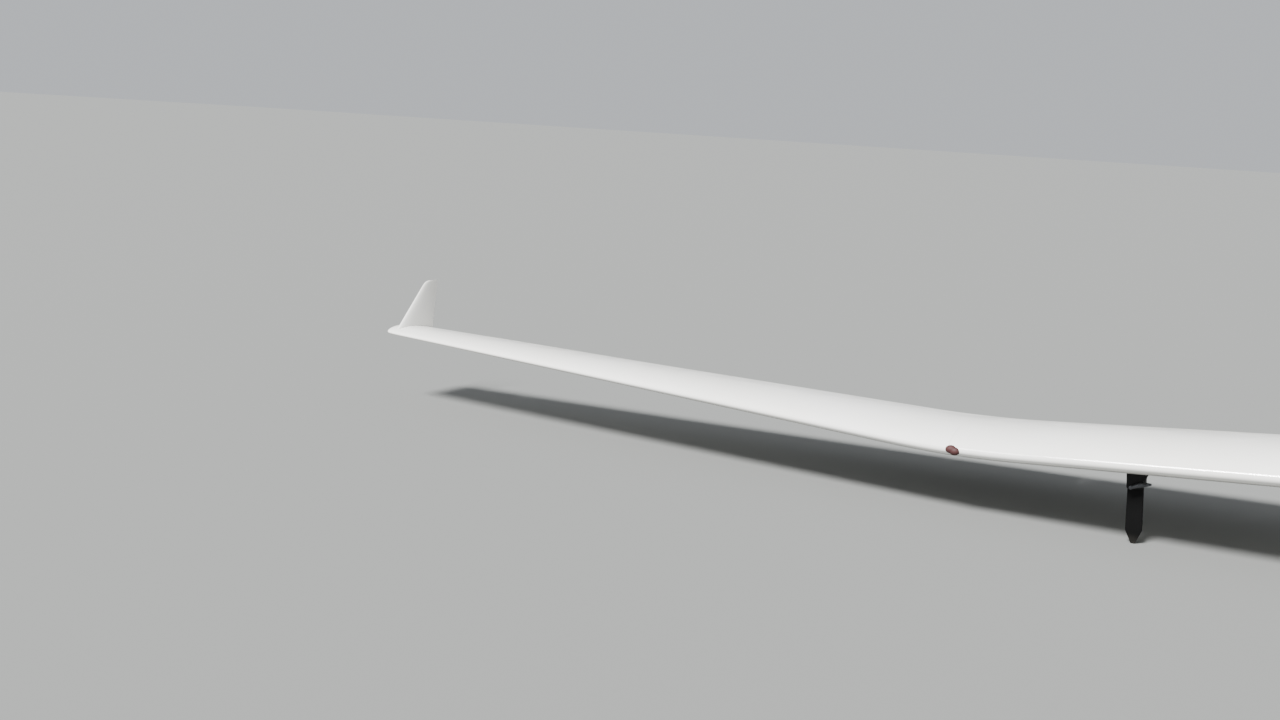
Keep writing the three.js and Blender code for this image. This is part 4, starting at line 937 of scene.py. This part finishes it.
def tube(points, across=(1, 0, 0), steps=6, sides=20):
    """A round bent rod along a smooth line. A point's last number is the rod's radius there."""
    line = refine(points, steps)
    rings = []
    for before, here, after in zip([line[0], *line], line, [*line[1:], line[-1]]):
        along = (after - before).xyz.normalized()
        side = along.cross(across).normalized()
        up = along.cross(side)
        turns = [math.tau * n / sides for n in range(sides)]
        rings.append([here.xyz + (side * math.cos(turn) + up * math.sin(turn)) * here.w for turn in turns])
    return skin(rings)


root = fin_row(PROBE_HEIGHT)[0] + 30
probe = tube(
    [(0, root - PROBE_REACH * reach, PROBE_HEIGHT + lift, PROBE_RADIUS) for reach, lift in PROBE_BEND]
)
probe = combine(probe, rod((0, root - 44, PROBE_HEIGHT), (0, root, PROBE_HEIGHT), 8, 28, 9), "UNION")
probe = combine(combine(probe, moved(fin_whole, 0, -FIT, 0)), fin_whole)
park(soften(probe, 0.6, over=60), "energy_probe_tube", [bright_steel], "airframe", "energy_probe")

# Wings: each side is an inner and an outer panel of glass and carbon sandwich round a carbon spar. They part
# at the middle of the rounded bend, where the outer panel slides over the inner one's spar end, and a pin
# low in the nose locks them. The seam is a hairline, and the control surfaces lie in hollow rear edges.
BREAK_ANGLE = math.radians(6.4)  # how much more the outer panel rises
BREAK_SPAN = 5250
BEND_HALF = 200
OUTER_SWEEP = math.radians(3.1)
WING = [  # span, chord, thickness share, pitch in degrees
    (330, 930, 0.145, 2.2), (2600, 862, 0.14, 2.0), (4400, 765, 0.135, 1.9),
    (5250, 686, 0.13, 1.8), (6500, 431, 0.125, 1.5), (7402, 262, 0.12, 1.0),
]
TIP = [  # span, set back, chord share, thickness
    (7448, 5, 0.96, 0.12), (7470, 12, 0.92, 0.119), (7482, 25, 0.85, 0.11), (7487, 42, 0.76, 0.075),
]
AILERONS = [("inner", 3860, 5020, (0.78, 0.775)), ("outer", 5480, 7160, (0.765, 0.74))]
BRAKE = {
    "from": 2350, "to": 3450, "at": 0.52, "cap": 34, "lip": 10, "blade": 12, "tall": 84, "gap": 5, "grip": 4
}


def wing_height(span):
    """The height of the wing's chord line at a span, with its rounded bend."""
    bend = math.tan(DIHEDRAL + BREAK_ANGLE) - math.tan(DIHEDRAL)
    into = min(max(span - BREAK_SPAN + BEND_HALF, 0), 2 * BEND_HALF)
    past = max(0, span - BREAK_SPAN - BEND_HALF)
    return WING_HEIGHT + span * math.tan(DIHEDRAL) + bend * (into * into / (4 * BEND_HALF) + past)


def wing_station(span):
    """The wing at one distance from the centreline: span, nose, height, chord, thickness share and pitch."""
    _, chord, thick, pitch = row_at(WING, min(max(span, WING[0][0]), WING[-1][0]))
    nose = max(0, span - BREAK_SPAN) * math.tan(OUTER_SWEEP)
    return Vector((span, nose, wing_height(span), chord, thick, math.radians(pitch)))


def wing_ring(station):
    """The wing's section at a station."""
    span, nose, height, chord, thick, pitch = station
    return [(span, nose + back, height + up) for back, up in airfoil(chord, thick, CAMBER, pitch, steps=48)]


def wing_point(station, f, side):
    """A point on the wing's upper (1) or lower (-1) skin at a share of the chord."""
    span, nose, height, chord, thick, pitch = station
    back, up = f * chord, chord * section_arch(CAMBER, f) + side * half_thickness(chord, thick, f)
    aft = nose + back * math.cos(pitch) + up * math.sin(pitch)
    return Vector((span, aft, height + up * math.cos(pitch) - back * math.sin(pitch)))


def spans_between(start, end, step):
    """Places from a start to an end, about one step apart."""
    count = max(1, round((end - start) / step))
    return [start + (end - start) * n / count for n in range(count + 1)]


last = wing_station(WING[-1][0])
tips = []
for span, back, share, thick in TIP:
    tips.append(Vector((span, last[1] + back, wing_height(span), last[3] * share, thick, last[5])))
bend_from, bend_to = BREAK_SPAN - BEND_HALF, BREAK_SPAN + BEND_HALF
inner_spans = spans_between(WING[0][0], bend_from, 170)
inner_spans += spans_between(bend_from, BREAK_SPAN - FIT / 2, 20)[1:]
outer_spans = spans_between(BREAK_SPAN + FIT / 2, bend_to, 20) + spans_between(bend_to, 7320, 110)[1:]
outer_rows = [wing_station(span) for span in outer_spans] + refine([wing_station(7352), last, *tips], 6)[1:]
inner_whole = skin([wing_ring(wing_station(span)) for span in inner_spans])
outer_whole = skin([wing_ring(row) for row in outer_rows])


def aileron_line(start, end, shares):
    """An aileron's hinge line, and the radius of its nose at each end."""
    points, radii = [], []
    for span, share in ((start, shares[0]), (end, shares[1])):
        top, low = (wing_point(wing_station(span), share, side) for side in (1, -1))
        points.append((top + low) / 2)
        radii.append((top - low).length / 2 * NOSE_SHARE)
    return *points, radii


def both_sides(shape, name, finishes, body, node, **more):
    """Parks a port piece and its starboard twin. A body or node that has a side ends in its name."""
    for side, twin in (("right", mirrored(shape)), ("left", shape)):
        rides = f"{body}_{side}" if body != "airframe" else body
        park(twin, f"{name}_{side}", finishes, rides, *([f"{node}_{side}"] if node else []), **more)


# Where the nose pin's red plug sits in the bend: two knobs, the outboard one higher.
PLUG = {"span": 5238, "aft": 4, "down": 1, "size": (17, 13.5, 12.5), "apart": (5.5, 2.8)}
PLUG_SMOOTHING = {"factor": 0.5, "use_axis_x": True, "use_axis_y": True, "use_axis_z": True}


def plug_shape(grow):
    """A plug of two overlapping knobs, half sunk in the wing's nose on the seam."""
    height = wing_height(PLUG["span"]) - PLUG["down"]
    whole = None
    for way in (1, -1):
        shape = bmesh.new()
        bmesh.ops.create_uvsphere(shape, u_segments=32, v_segments=20, radius=1)
        bmesh.ops.scale(shape, vec=[size + grow for size in PLUG["size"]], verts=shape.verts)
        at = (PLUG["span"] + way * PLUG["apart"][0], PLUG["aft"], height + way * PLUG["apart"][1])
        bmesh.ops.translate(shape, vec=at, verts=shape.verts)
        whole = combine(whole, shape, "UNION") if whole else shape
    for _ in range(5):
        bmesh.ops.smooth_vert(whole, verts=whole.verts, **PLUG_SMOOTHING)
    return whole


panels = {"inner": inner_whole.copy(), "outer": outer_whole.copy()}
for name, start, end, shares in AILERONS:
    low, high, radii = aileron_line(start, end, shares)
    flap = combine(panels[name].copy(), moving_part(low, high, radii), "INTERSECT")
    both_sides(flap, f"aileron_{name}_shell", [gelcoat], f"aileron_{name}", f"aileron_{name}")
    panels[name] = combine(panels[name], moving_part(low, high, radii, NOSE_GAP, (END_GAP, END_GAP)))

brake_station = wing_station((BRAKE["from"] + BRAKE["to"]) / 2)
brake_top = wing_point(brake_station, BRAKE["at"], 1)


def brake_column(grow):
    """The upright slot that the airbrake lives in, and its cap strip's outline."""
    reach = BRAKE["cap"] / 2 + grow
    return block(
        (BRAKE["from"] - grow, brake_top.y - reach, brake_top.z - BRAKE["tall"]),
        (BRAKE["to"] + grow, brake_top.y + reach, brake_top.z + 60),
    )


cap = combine(inner_whole.copy(), brake_column(0), "INTERSECT")
cap = combine(cap, block((0, -500, 0), (9000, 1500, brake_top.z - BRAKE["lip"])))
panels["inner"] = combine(panels["inner"], brake_column(BRAKE["gap"]))
for name in panels:
    panels[name] = combine(panels[name], plug_shape(FIT))
    both_sides(panels[name], f"wing_{name}_panel", [gelcoat], "airframe", f"wing_{name}")

# Red plug: a soft moulded plastic knob that covers the locking pin's hole in the bend's nose. Its red is
# darkened with painted shade, the shade under the wing's nose.
both_sides(plug_shape(0), "nose_pin_plug", [red_plastic], "airframe", "joint_plug")

# Airbrakes: a folded aluminium blade, pierced by a row of round holes, under a cap strip of the wing's own
# skin that closes flush. It rises straight out of the upper surface.
HOLE, HOLE_STEP, FIRST_HOLE, HOLE_UP = 17, 50, 45, 34
low, high = brake_top.z - BRAKE["tall"] + 6, brake_top.z - BRAKE["lip"] + BRAKE["grip"]
half = BRAKE["blade"] / 2
blade = block((BRAKE["from"], brake_top.y - half, low), (BRAKE["to"], brake_top.y + half, high))
for at in spans_between(BRAKE["from"] + FIRST_HOLE, BRAKE["to"] - FIRST_HOLE, HOLE_STEP):
    blade = combine(blade, lengthwise(at, low + HOLE_UP, brake_top.y - 20, brake_top.y + 20, HOLE, 28))
both_sides(soften(blade, 0.8, 1), "airbrake_blade", [satin_alloy], "airbrake", "airbrake")
both_sides(cap, "airbrake_cap", [gelcoat], "airbrake", None)

# Winglets: swept and leaning outwards, bonded on the tips as one moulding each.
WINGLET = {"span": 7436, "back": 10, "chord": 226, "top": 76, "height": 178, "sweep": 220, "thick": 0.1}
WINGLET_FOOT, WINGLET_UP = -6, 8
CANT = math.radians(6)
SHRINK = ((0, 1), (0.25, 1), (0.5, 1), (0.75, 1), (0.9, 1), (0.96, 0.97), (0.988, 0.86), (1, 0.66))
station = wing_station(WINGLET["span"])
rings = []
for t, shrink in SHRINK:
    chord = WINGLET["chord"] + (WINGLET["top"] - WINGLET["chord"]) * t
    rise = WINGLET_FOOT + (WINGLET["height"] - WINGLET_FOOT) * t
    nose = station[1] + WINGLET["back"] + WINGLET["sweep"] * t + chord * (1 - shrink) * 0.7
    ring = []
    for back, off in airfoil(chord * shrink, WINGLET["thick"]):
        across = WINGLET["span"] + off * math.cos(CANT) + rise * math.sin(CANT)
        height = station[2] + WINGLET_UP + rise * math.cos(CANT) - off * math.sin(CANT)
        ring.append((across, nose + back, height))
    rings.append(ring)
winglet = combine(combine(skin(rings), moved(outer_whole, 0, 0, FIT)), outer_whole)
both_sides(winglet, "winglet_fin", [gelcoat], "airframe", "winglet")

# Wing skids: a moulded black fork under each wing clamps a sprung rubber blade with a pointed foot, and a
# bent steel lever on its front cheek locks it. The starboard foot is worn flat where it stands on the ground.
SKID = {"span": 4734, "back": 97, "drop": 244, "cant": math.radians(2.7), "rake": math.radians(7)}
SKID_BLADE = {"half": 23, "outer_top": 20, "thick": 14, "point": 39, "end": 3, "under": 6}
BRACKET = {"out": 21, "in": 32, "neck": 24, "fore": 24, "aft": 38, "deep": 42, "socket": 16}
middle, half, thick = SKID["span"], SKID_BLADE["half"], SKID_BLADE["thick"]
station = wing_station(middle)
skid_top = wing_point(station, SKID["back"] / station[3], -1)
foot = Vector((middle + SKID["drop"] * math.tan(SKID["cant"]), skid_top.y, station[2] - SKID["drop"]))
blade_top = skid_top.z - BRACKET["socket"]
blade_end = blade_top - (blade_top - foot.z) / math.cos(SKID["rake"])

# Moulded rubber: matt black with a fine grain, scuffed to grey by the grass round its foot.
rubber = new_finish("moulded_skid_rubber", "rubber", IOR=1.5, Roughness=0.65, Specular_IOR_Level=0.15)
place = add(rubber, "TexCoord", {}).outputs["Object"]
height = add(rubber, "SeparateXYZ", {"Vector": place}).outputs["Z"]
foot_wear = {"Value": height, "From Min": 0.0, "From Max": 0.03, "To Min": 0.4, "To Max": 0.0}
scuffed = add(rubber, "MapRange", foot_wear).outputs["Result"]
rough = add(rubber, "TexNoise", {"Vector": place, "Scale": per_metre(7), "Detail": 5}).outputs["Fac"]
wear = add(rubber, "Math", {0: rough, 1: scuffed}, operation="MULTIPLY").outputs["Value"]
tint = add(rubber, "ValToRGB", {"Fac": wear})
tint.color_ramp.elements[0].color = colour("040404")
tint.color_ramp.elements[1].color, tint.color_ramp.elements[1].position = colour("35322e"), 0.5
relief = add(rubber, "Bump", {"Height": rough, "Strength": 0.3, "Distance": 0.0006})
shade(rubber, Base_Color=tint.outputs["Color"], Normal=relief.outputs["Normal"])

end, shoulder, tip = SKID_BLADE["end"], blade_end + SKID_BLADE["point"], blade_end - SKID_BLADE["under"]
outline = [
    (middle - half, blade_top), (middle + SKID_BLADE["outer_top"], blade_top), (middle + half, shoulder),
    (middle + end, tip), (middle - end, tip), (middle - half, shoulder),
]


def leaned(shape):
    """Leans a shape aft and outwards about the blade's top."""
    centre = Matrix.Translation((middle, skid_top.y, blade_top))
    turn = Matrix.Rotation(-SKID["cant"], 4, "Y") @ Matrix.Rotation(SKID["rake"], 4, "X")
    bmesh.ops.transform(shape, matrix=centre @ turn @ centre.inverted(), verts=shape.verts)
    return shape


blade = leaned(soften(plate("front", outline, 2.7, skid_top.y - thick / 2, thick, segments=5), 1.6, 3))
ground = block((-200, -200, -200), (200, 200, 0))
down = Matrix.Translation(foot) @ Matrix.Rotation(-lean, 4, "Y")
bmesh.ops.transform(ground, matrix=down, verts=ground.verts)
both_sides(combine(blade, ground), "skid_blade_rubber", [rubber], "airframe", "skid_blade")

# Glass-filled nylon: the fork's moulding is near black and dull, with a fine grain that takes a soft sheen.
glass_nylon = mottled(
    "glass_filled_nylon", "black_plastic", "050505", "0d0d0d", 1.5, 3, grain=(1.5, 3, 0.25, 0.0004),
    IOR=1.53, Roughness=0.6, Specular_IOR_Level=0.2,
)
neck, low = BRACKET["neck"], skid_top.z - BRACKET["deep"]
outline = [
    (middle - BRACKET["in"], skid_top.z + 30), (middle + BRACKET["out"], skid_top.z + 30),
    (middle + BRACKET["out"], low), (middle - neck, low),
    (middle - neck, skid_top.z - 20), (middle - BRACKET["in"], skid_top.z - 6),
]
bracket = plate("front", outline, 4, skid_top.y - BRACKET["fore"], BRACKET["fore"] + BRACKET["aft"])
bracket = soften(bracket, 1.6, 2)
bracket = combine(combine(bracket, moved(inner_whole, 0, 0, -FIT)), inner_whole)
slot = block(
    (middle - 2 * half, skid_top.y - thick / 2 - FIT, blade_top - 60),
    (middle + 2 * half, skid_top.y + thick / 2 + FIT, blade_top + FIT),
)
both_sides(combine(bracket, leaned(slot)), "skid_fork_moulding", [glass_nylon], "airframe", "skid_bracket")

# Phosphated steel: dark grey, with a satin sheen where hands have rubbed it.
phosphated_steel = mottled(
    "phosphated_steel", "steel", "36373a", "66676a", 6, Metallic=1, Roughness=0.4
)
face, level = skid_top.y - BRACKET["fore"], skid_top.z - 30
lever = tube(
    [  # across, aft, up and radius, from its pivot to its tip
        (middle + 9, face - 3, level - 8, 4), (middle + 1, face - 5, level - 5.5, 5.5),
        (middle - 9, face - 5, level - 1.5, 6.5), (middle - 20, face - 1, level + 1, 7.5),
        (middle - 29, skid_top.y - 17, level + 1, 6.5), (middle - 38, skid_top.y - 15, level + 1.5, 4.5),
        (middle - 46, skid_top.y - 15, level + 2.5, 2.5),
    ],
    across=(0, 0, 1),
)
pivot = soften(lengthwise(middle + 8, level - 8, face + 1, face - 8, 6, 6), 0.8)
both_sides(gather([lever, pivot]), "skid_lock_lever", [phosphated_steel], "airframe", None)

# Main tyre: a plain ribbed aircraft tyre of black rubber, fitted over the hub's rims. Dry grass and dust
# have greyed its crown.
TYRE = {"radius": 180, "half": 62, "rim": 70, "axle": 11, "hub": 46, "grooves": (-32, -12, 12, 32)}
SECTION_POWER = 2.4
tyre_rubber = mottled(
    "black_tyre_rubber", "tyre", "161616", "2f2d2a", 8, 6, (0.35, 0.75), grain=(1.2, 2, 0.2, 0.0004),
    IOR=1.5, Roughness=0.78,
)


def tyre_section(radius, half, rim, grooves, cut):
    """A tyre's section, across and out: a rounded rectangle with grooves in its crown."""
    middle, deep = (radius + rim) / 2, (radius - rim) / 2

    def crown(across):
        return middle + deep * max(0, 1 - (abs(across) / half) ** SECTION_POWER) ** (1 / SECTION_POWER)

    top, low = [], []
    for n in range(49):
        angle = math.pi * n / 48
        across = math.copysign(abs(math.cos(angle)) ** (2 / SECTION_POWER), math.cos(angle)) * half
        if all(abs(across - groove) > cut for groove in grooves):
            top.append((across, crown(across)))
        low.append((-across, 2 * middle - crown(across)))
    for groove in grooves:
        for step, sink in ((-0.6, 0), (-0.35, cut), (0.35, cut), (0.6, 0)):
            across = groove + step * cut
            top.append((across, crown(across) - sink))
    top.sort(reverse=True)
    return top + low[1:-1]


section = tyre_section(TYRE["radius"], TYRE["half"], TYRE["rim"], TYRE["grooves"], 4)
tyre = turned(section, MAIN_AXLE, (1, 0, 0), 96)
park(tyre, "main_tyre_rubber", [tyre_rubber], "main_wheel", "main_tyre")

# Hub: two cast aluminium halves bolted together, with round holes to save weight, a steel brake disc on
# the port side and the tyre's valve.
BORE = 12.5
BOLTS, BOLT_CIRCLE, HOLE_CIRCLE = 6, 33, 41
DISC = [(21, 29), (21, 52), (26, 52), (26, 29)]


def hub_section(rim, half, bore):
    """A hub's section: two rims, a thin web and a thick boss round the axle."""
    web = half * 0.45
    wing = [(half, rim - 10), (half, rim), (half * 0.8, rim), (half * 0.74, rim - 4)]
    inside = [(web, rim - 16), (web, bore + 16), (half * 1.02, bore + 10), (half * 1.02, bore)]
    port = wing[::-1] + inside
    return port + [(-across, out) for across, out in port[::-1]]


hub = turned(hub_section(TYRE["rim"] - 1, TYRE["hub"], BORE), MAIN_AXLE, (1, 0, 0), 72)
bolts = []
for n in range(BOLTS):
    angle = math.tau * n / BOLTS
    at = MAIN_AXLE + Vector((0, math.cos(angle), math.sin(angle))) * BOLT_CIRCLE
    bolts.append(soften(rod(at - Vector((27, 0, 0)), at - Vector((20.4, 0, 0)), 5, 6), 0.5))
    bolts.append(soften(rod(at + Vector((25.7, 0, 0)), at + Vector((33, 0, 0)), 5, 6), 0.5))
    angle += math.pi / BOLTS
    at = MAIN_AXLE + Vector((0, math.cos(angle), math.sin(angle))) * HOLE_CIRCLE
    hub = combine(hub, crosswise(at, 60, 7, 28))
park(soften(hub, 0.8, over=50), "main_hub_casting", [satin_alloy], "main_wheel", "main_hub")
park(gather(bolts), "main_hub_bolts", [bright_steel], "main_wheel")
disc = turned(DISC, MAIN_AXLE, (1, 0, 0), 72)
park(soften(disc, 0.8, over=50), "brake_disc", [bright_steel], "main_wheel")
valve = soften(rod(MAIN_AXLE + Vector((-20.4, 0, 50)), MAIN_AXLE + Vector((-44, 0, 50)), 3.6, 20), 0.8)
park(valve, "tyre_valve", [satin_black], "main_wheel")

# Axle and fork: a hard chromed axle clamped between two machined aluminium legs, which hang from a cross
# tube and a drag strut in the well and are held by hexagon nuts.
LEG = {"inner": 72, "thick": 12, "top": 520}
axle = soften(crosswise(MAIN_AXLE, 71.7, TYRE["axle"], 40), 1)
park(axle, "main_axle_rod", [bright_steel], "airframe", "main_axle")
_, y, z = MAIN_AXLE
outline = [
    (y - 30, z - 30), (y + 30, z - 30), (y + 38, z + 60),
    (y + 96, LEG["top"]), (y - 10, LEG["top"]), (y - 30, z + 60),
]
window = [(y - 12, 270), (y + 14, 270), (y + 48, 430), (y + 10, 430)]
parts = []
for way in (1, -1):
    inner = LEG["inner"] if way > 0 else -LEG["inner"] - LEG["thick"]
    leg = plate("side", outline, 22, inner, LEG["thick"], segments=8)
    parts.append(soften(combine(leg, plate("side", window, 10, inner - 5, 22)), 1.2))
    face = way * (LEG["inner"] + LEG["thick"])
    parts.append(soften(rod((face - way * 0.5, y, z), (face + way * 8.5, y, z), 19, 6), 1))
    parts.append(soften(rod((face, y, z), (face + way * 6, y, z), 8), 0.8))
bar = crosswise((0, y + 42, LEG["top"] - 34), 78, 16, 40)
outline = [
    (y + 22, LEG["top"] - 50), (y + 56, LEG["top"] - 30), (WELL["fore"] + 12, LEG["top"] - 92),
    (WELL["fore"] + FIT, LEG["top"] - 92), (WELL["fore"] + FIT, LEG["top"] - 122),
]
parts += [bar, soften(plate("side", outline, 6, -11, 22), 1.2)]
park(gather(parts), "undercarriage_fork", [satin_alloy], "airframe", "gear_fork")

# Wheel doors: two curved-edge panels of the fuselage's own white moulding, standing open on hinge blocks.
DOOR = {"x": 96, "thick": 7, "top": 352, "bottom": 196, "from": -172, "to": 318, "taper": 20}
DOOR_HINGES = (-90, 230)
outline = [
    (DOOR["from"], DOOR["top"]), (DOOR["to"], DOOR["top"]),
    (DOOR["to"] - DOOR["taper"], DOOR["bottom"]), (DOOR["from"] + DOOR["taper"], DOOR["bottom"]),
]
door = soften(plate("side", outline, 24, DOOR["x"], DOOR["thick"], segments=8), 1.4)
for y in DOOR_HINGES:
    low, high = (DOOR["x"], y - 22, DOOR["top"] - 26), (WELL["half"] - FIT, y + 22, DOOR["top"] + 22)
    door = combine(door, block(low, high), "UNION")
for side, shape in (("left", door), ("right", mirrored(door))):
    park(shape, f"wheel_door_{side}", [gelcoat], "airframe", f"gear_door_{side}")

# Belly hook: a steel housing under the pod with the ring that a winch cable's end hooks on to.
RING_OUT, RING_THICK = 16, 4.5
turns = [math.tau * n / 20 for n in range(20)]
section = [(RING_THICK * math.cos(turn), RING_OUT + RING_THICK * math.sin(turn)) for turn in turns]
cable_ring = turned(section, (0, -292, 312), (1, 0, 0))
housing = soften(block((-16, -330, 322), (16, -250, 352)), 2)
hook = combine(housing, pod_stretch(-1500, 1500, -FIT))
park(gather([hook, cable_ring]), "belly_release_hook", [bright_steel], "airframe", "tow_hook")

# Tail wheel: a small pneumatic wheel in a moulded white fairing under the boom, on an axle through both
# cheeks with its ends left showing.
TAIL_AT = Vector((0, 3800, 90))
FAIRING = [(60, 150, 36), (84, 172, 42), (230, 205, 45), (360, 240, 45)]  # height, half length, half width
FAIRING_POWER, FAIRING_BACK = 2.8, 10
TAIL_TYRE = {"radius": 90, "half": 21, "rim": 48, "grooves": (-7, 7), "hub": 17, "bore": 6.5, "axle": 5.4}
TAIL_WELL, TAIL_WELL_HALF = 102, 28
rings = []
for z, length, half in refine(FAIRING, 4):
    ring = []
    for n in range(64):
        angle = math.tau * (n + 0.5) / 64
        reach = math.sin(angle), math.cos(angle)
        bow = [math.copysign(abs(part) ** (2 / FAIRING_POWER), part) for part in reach]
        ring.append((bow[0] * half, TAIL_AT.y + FAIRING_BACK + bow[1] * length, z))
    rings.append(ring)
fairing = combine(skin(rings), crosswise(TAIL_AT, TAIL_WELL_HALF, TAIL_WELL, 96))
fairing = combine(fairing, crosswise(TAIL_AT, 90, TAIL_TYRE["axle"] + FIT, 32))
park(combine(fairing, boom_skin), "tail_wheel_cheeks", [gelcoat], "airframe", "tail_wheel_fairing")
axle = soften(crosswise(TAIL_AT, 40, TAIL_TYRE["axle"], 32), 1)
park(axle, "tail_axle_rod", [bright_steel], "airframe", "tail_axle")
section = tyre_section(TAIL_TYRE["radius"], TAIL_TYRE["half"], TAIL_TYRE["rim"], TAIL_TYRE["grooves"], 2.4)
tyre = turned(section, TAIL_AT, (1, 0, 0), 72)
park(tyre, "tail_tyre_rubber", [tyre_rubber], "tail_wheel", "tail_tyre")
hub = turned(hub_section(TAIL_TYRE["rim"] - 1, TAIL_TYRE["hub"], TAIL_TYRE["bore"]), TAIL_AT, (1, 0, 0), 60)
park(soften(hub, 0.6, over=50), "tail_hub_casting", [satin_alloy], "tail_wheel", "tail_hub")

# Studio: a pale floor without an edge in view, a broad soft light overhead and an even pale surround.
floor_paint = new_finish("pale_floor_paint", "gelcoat", Roughness=0.9, Base_Color=colour("767775"))
floor_mesh = bmesh.new()
bmesh.ops.create_grid(floor_mesh, x_segments=1, y_segments=1, size=300)
mesh = bpy.data.meshes.new("studio_floor")
floor_mesh.to_mesh(mesh)
floor_mesh.free()
floor = bpy.data.objects.new("studio_floor", mesh)
mesh.materials.append(floor_paint)
bpy.context.scene.collection.objects.link(floor)

surround = bpy.data.worlds.new("surround")
surround.use_nodes = True
surround.node_tree.nodes["Background"].inputs["Color"].default_value = colour("dfe3e8")
surround.node_tree.nodes["Background"].inputs["Strength"].default_value = 0.8
bpy.context.scene.world = surround

overhead = bpy.data.lights.new("overhead", "SUN")
overhead.energy = 11.5
overhead.angle = math.radians(16)
overhead_lamp = bpy.data.objects.new("overhead", overhead)
overhead_lamp.rotation_euler = (math.radians(42), 0, math.radians(-12))
bpy.context.scene.collection.objects.link(overhead_lamp)

# Camera: the photograph's viewpoint, held to the starboard wing's inner panel that fills its frame.
CAMERA_PLACE = Vector((-4015, -3998, 790))  # from the wing root's leading edge, along the panel, in mm
CAMERA_TURN = math.radians(29.75)
CAMERA_DIP = math.radians(7.08)
CAMERA_ROLL = math.radians(-0.59)
FOCAL_LENGTH = 1400  # pixels of a picture 1280 wide
camera = bpy.data.cameras.new("photo_view")
camera.lens = FOCAL_LENGTH / 1280 * camera.sensor_width
view = bpy.data.objects.new("photo_view", camera)
panel = Matrix.Translation((0, 0, WING_HEIGHT)) @ Matrix.Rotation(DIHEDRAL, 4, "Y")
aim = Matrix.Rotation(CAMERA_TURN, 4, "Z") @ Matrix.Rotation(math.pi / 2 - CAMERA_DIP, 4, "X")
view.matrix_world = (
    Matrix.Translation(parked @ panel @ CAMERA_PLACE)
    @ leaning @ Matrix.Rotation(DIHEDRAL, 4, "Y") @ aim @ Matrix.Rotation(CAMERA_ROLL, 4, "Z")
)
bpy.context.scene.collection.objects.link(view)
bpy.context.scene.camera = view
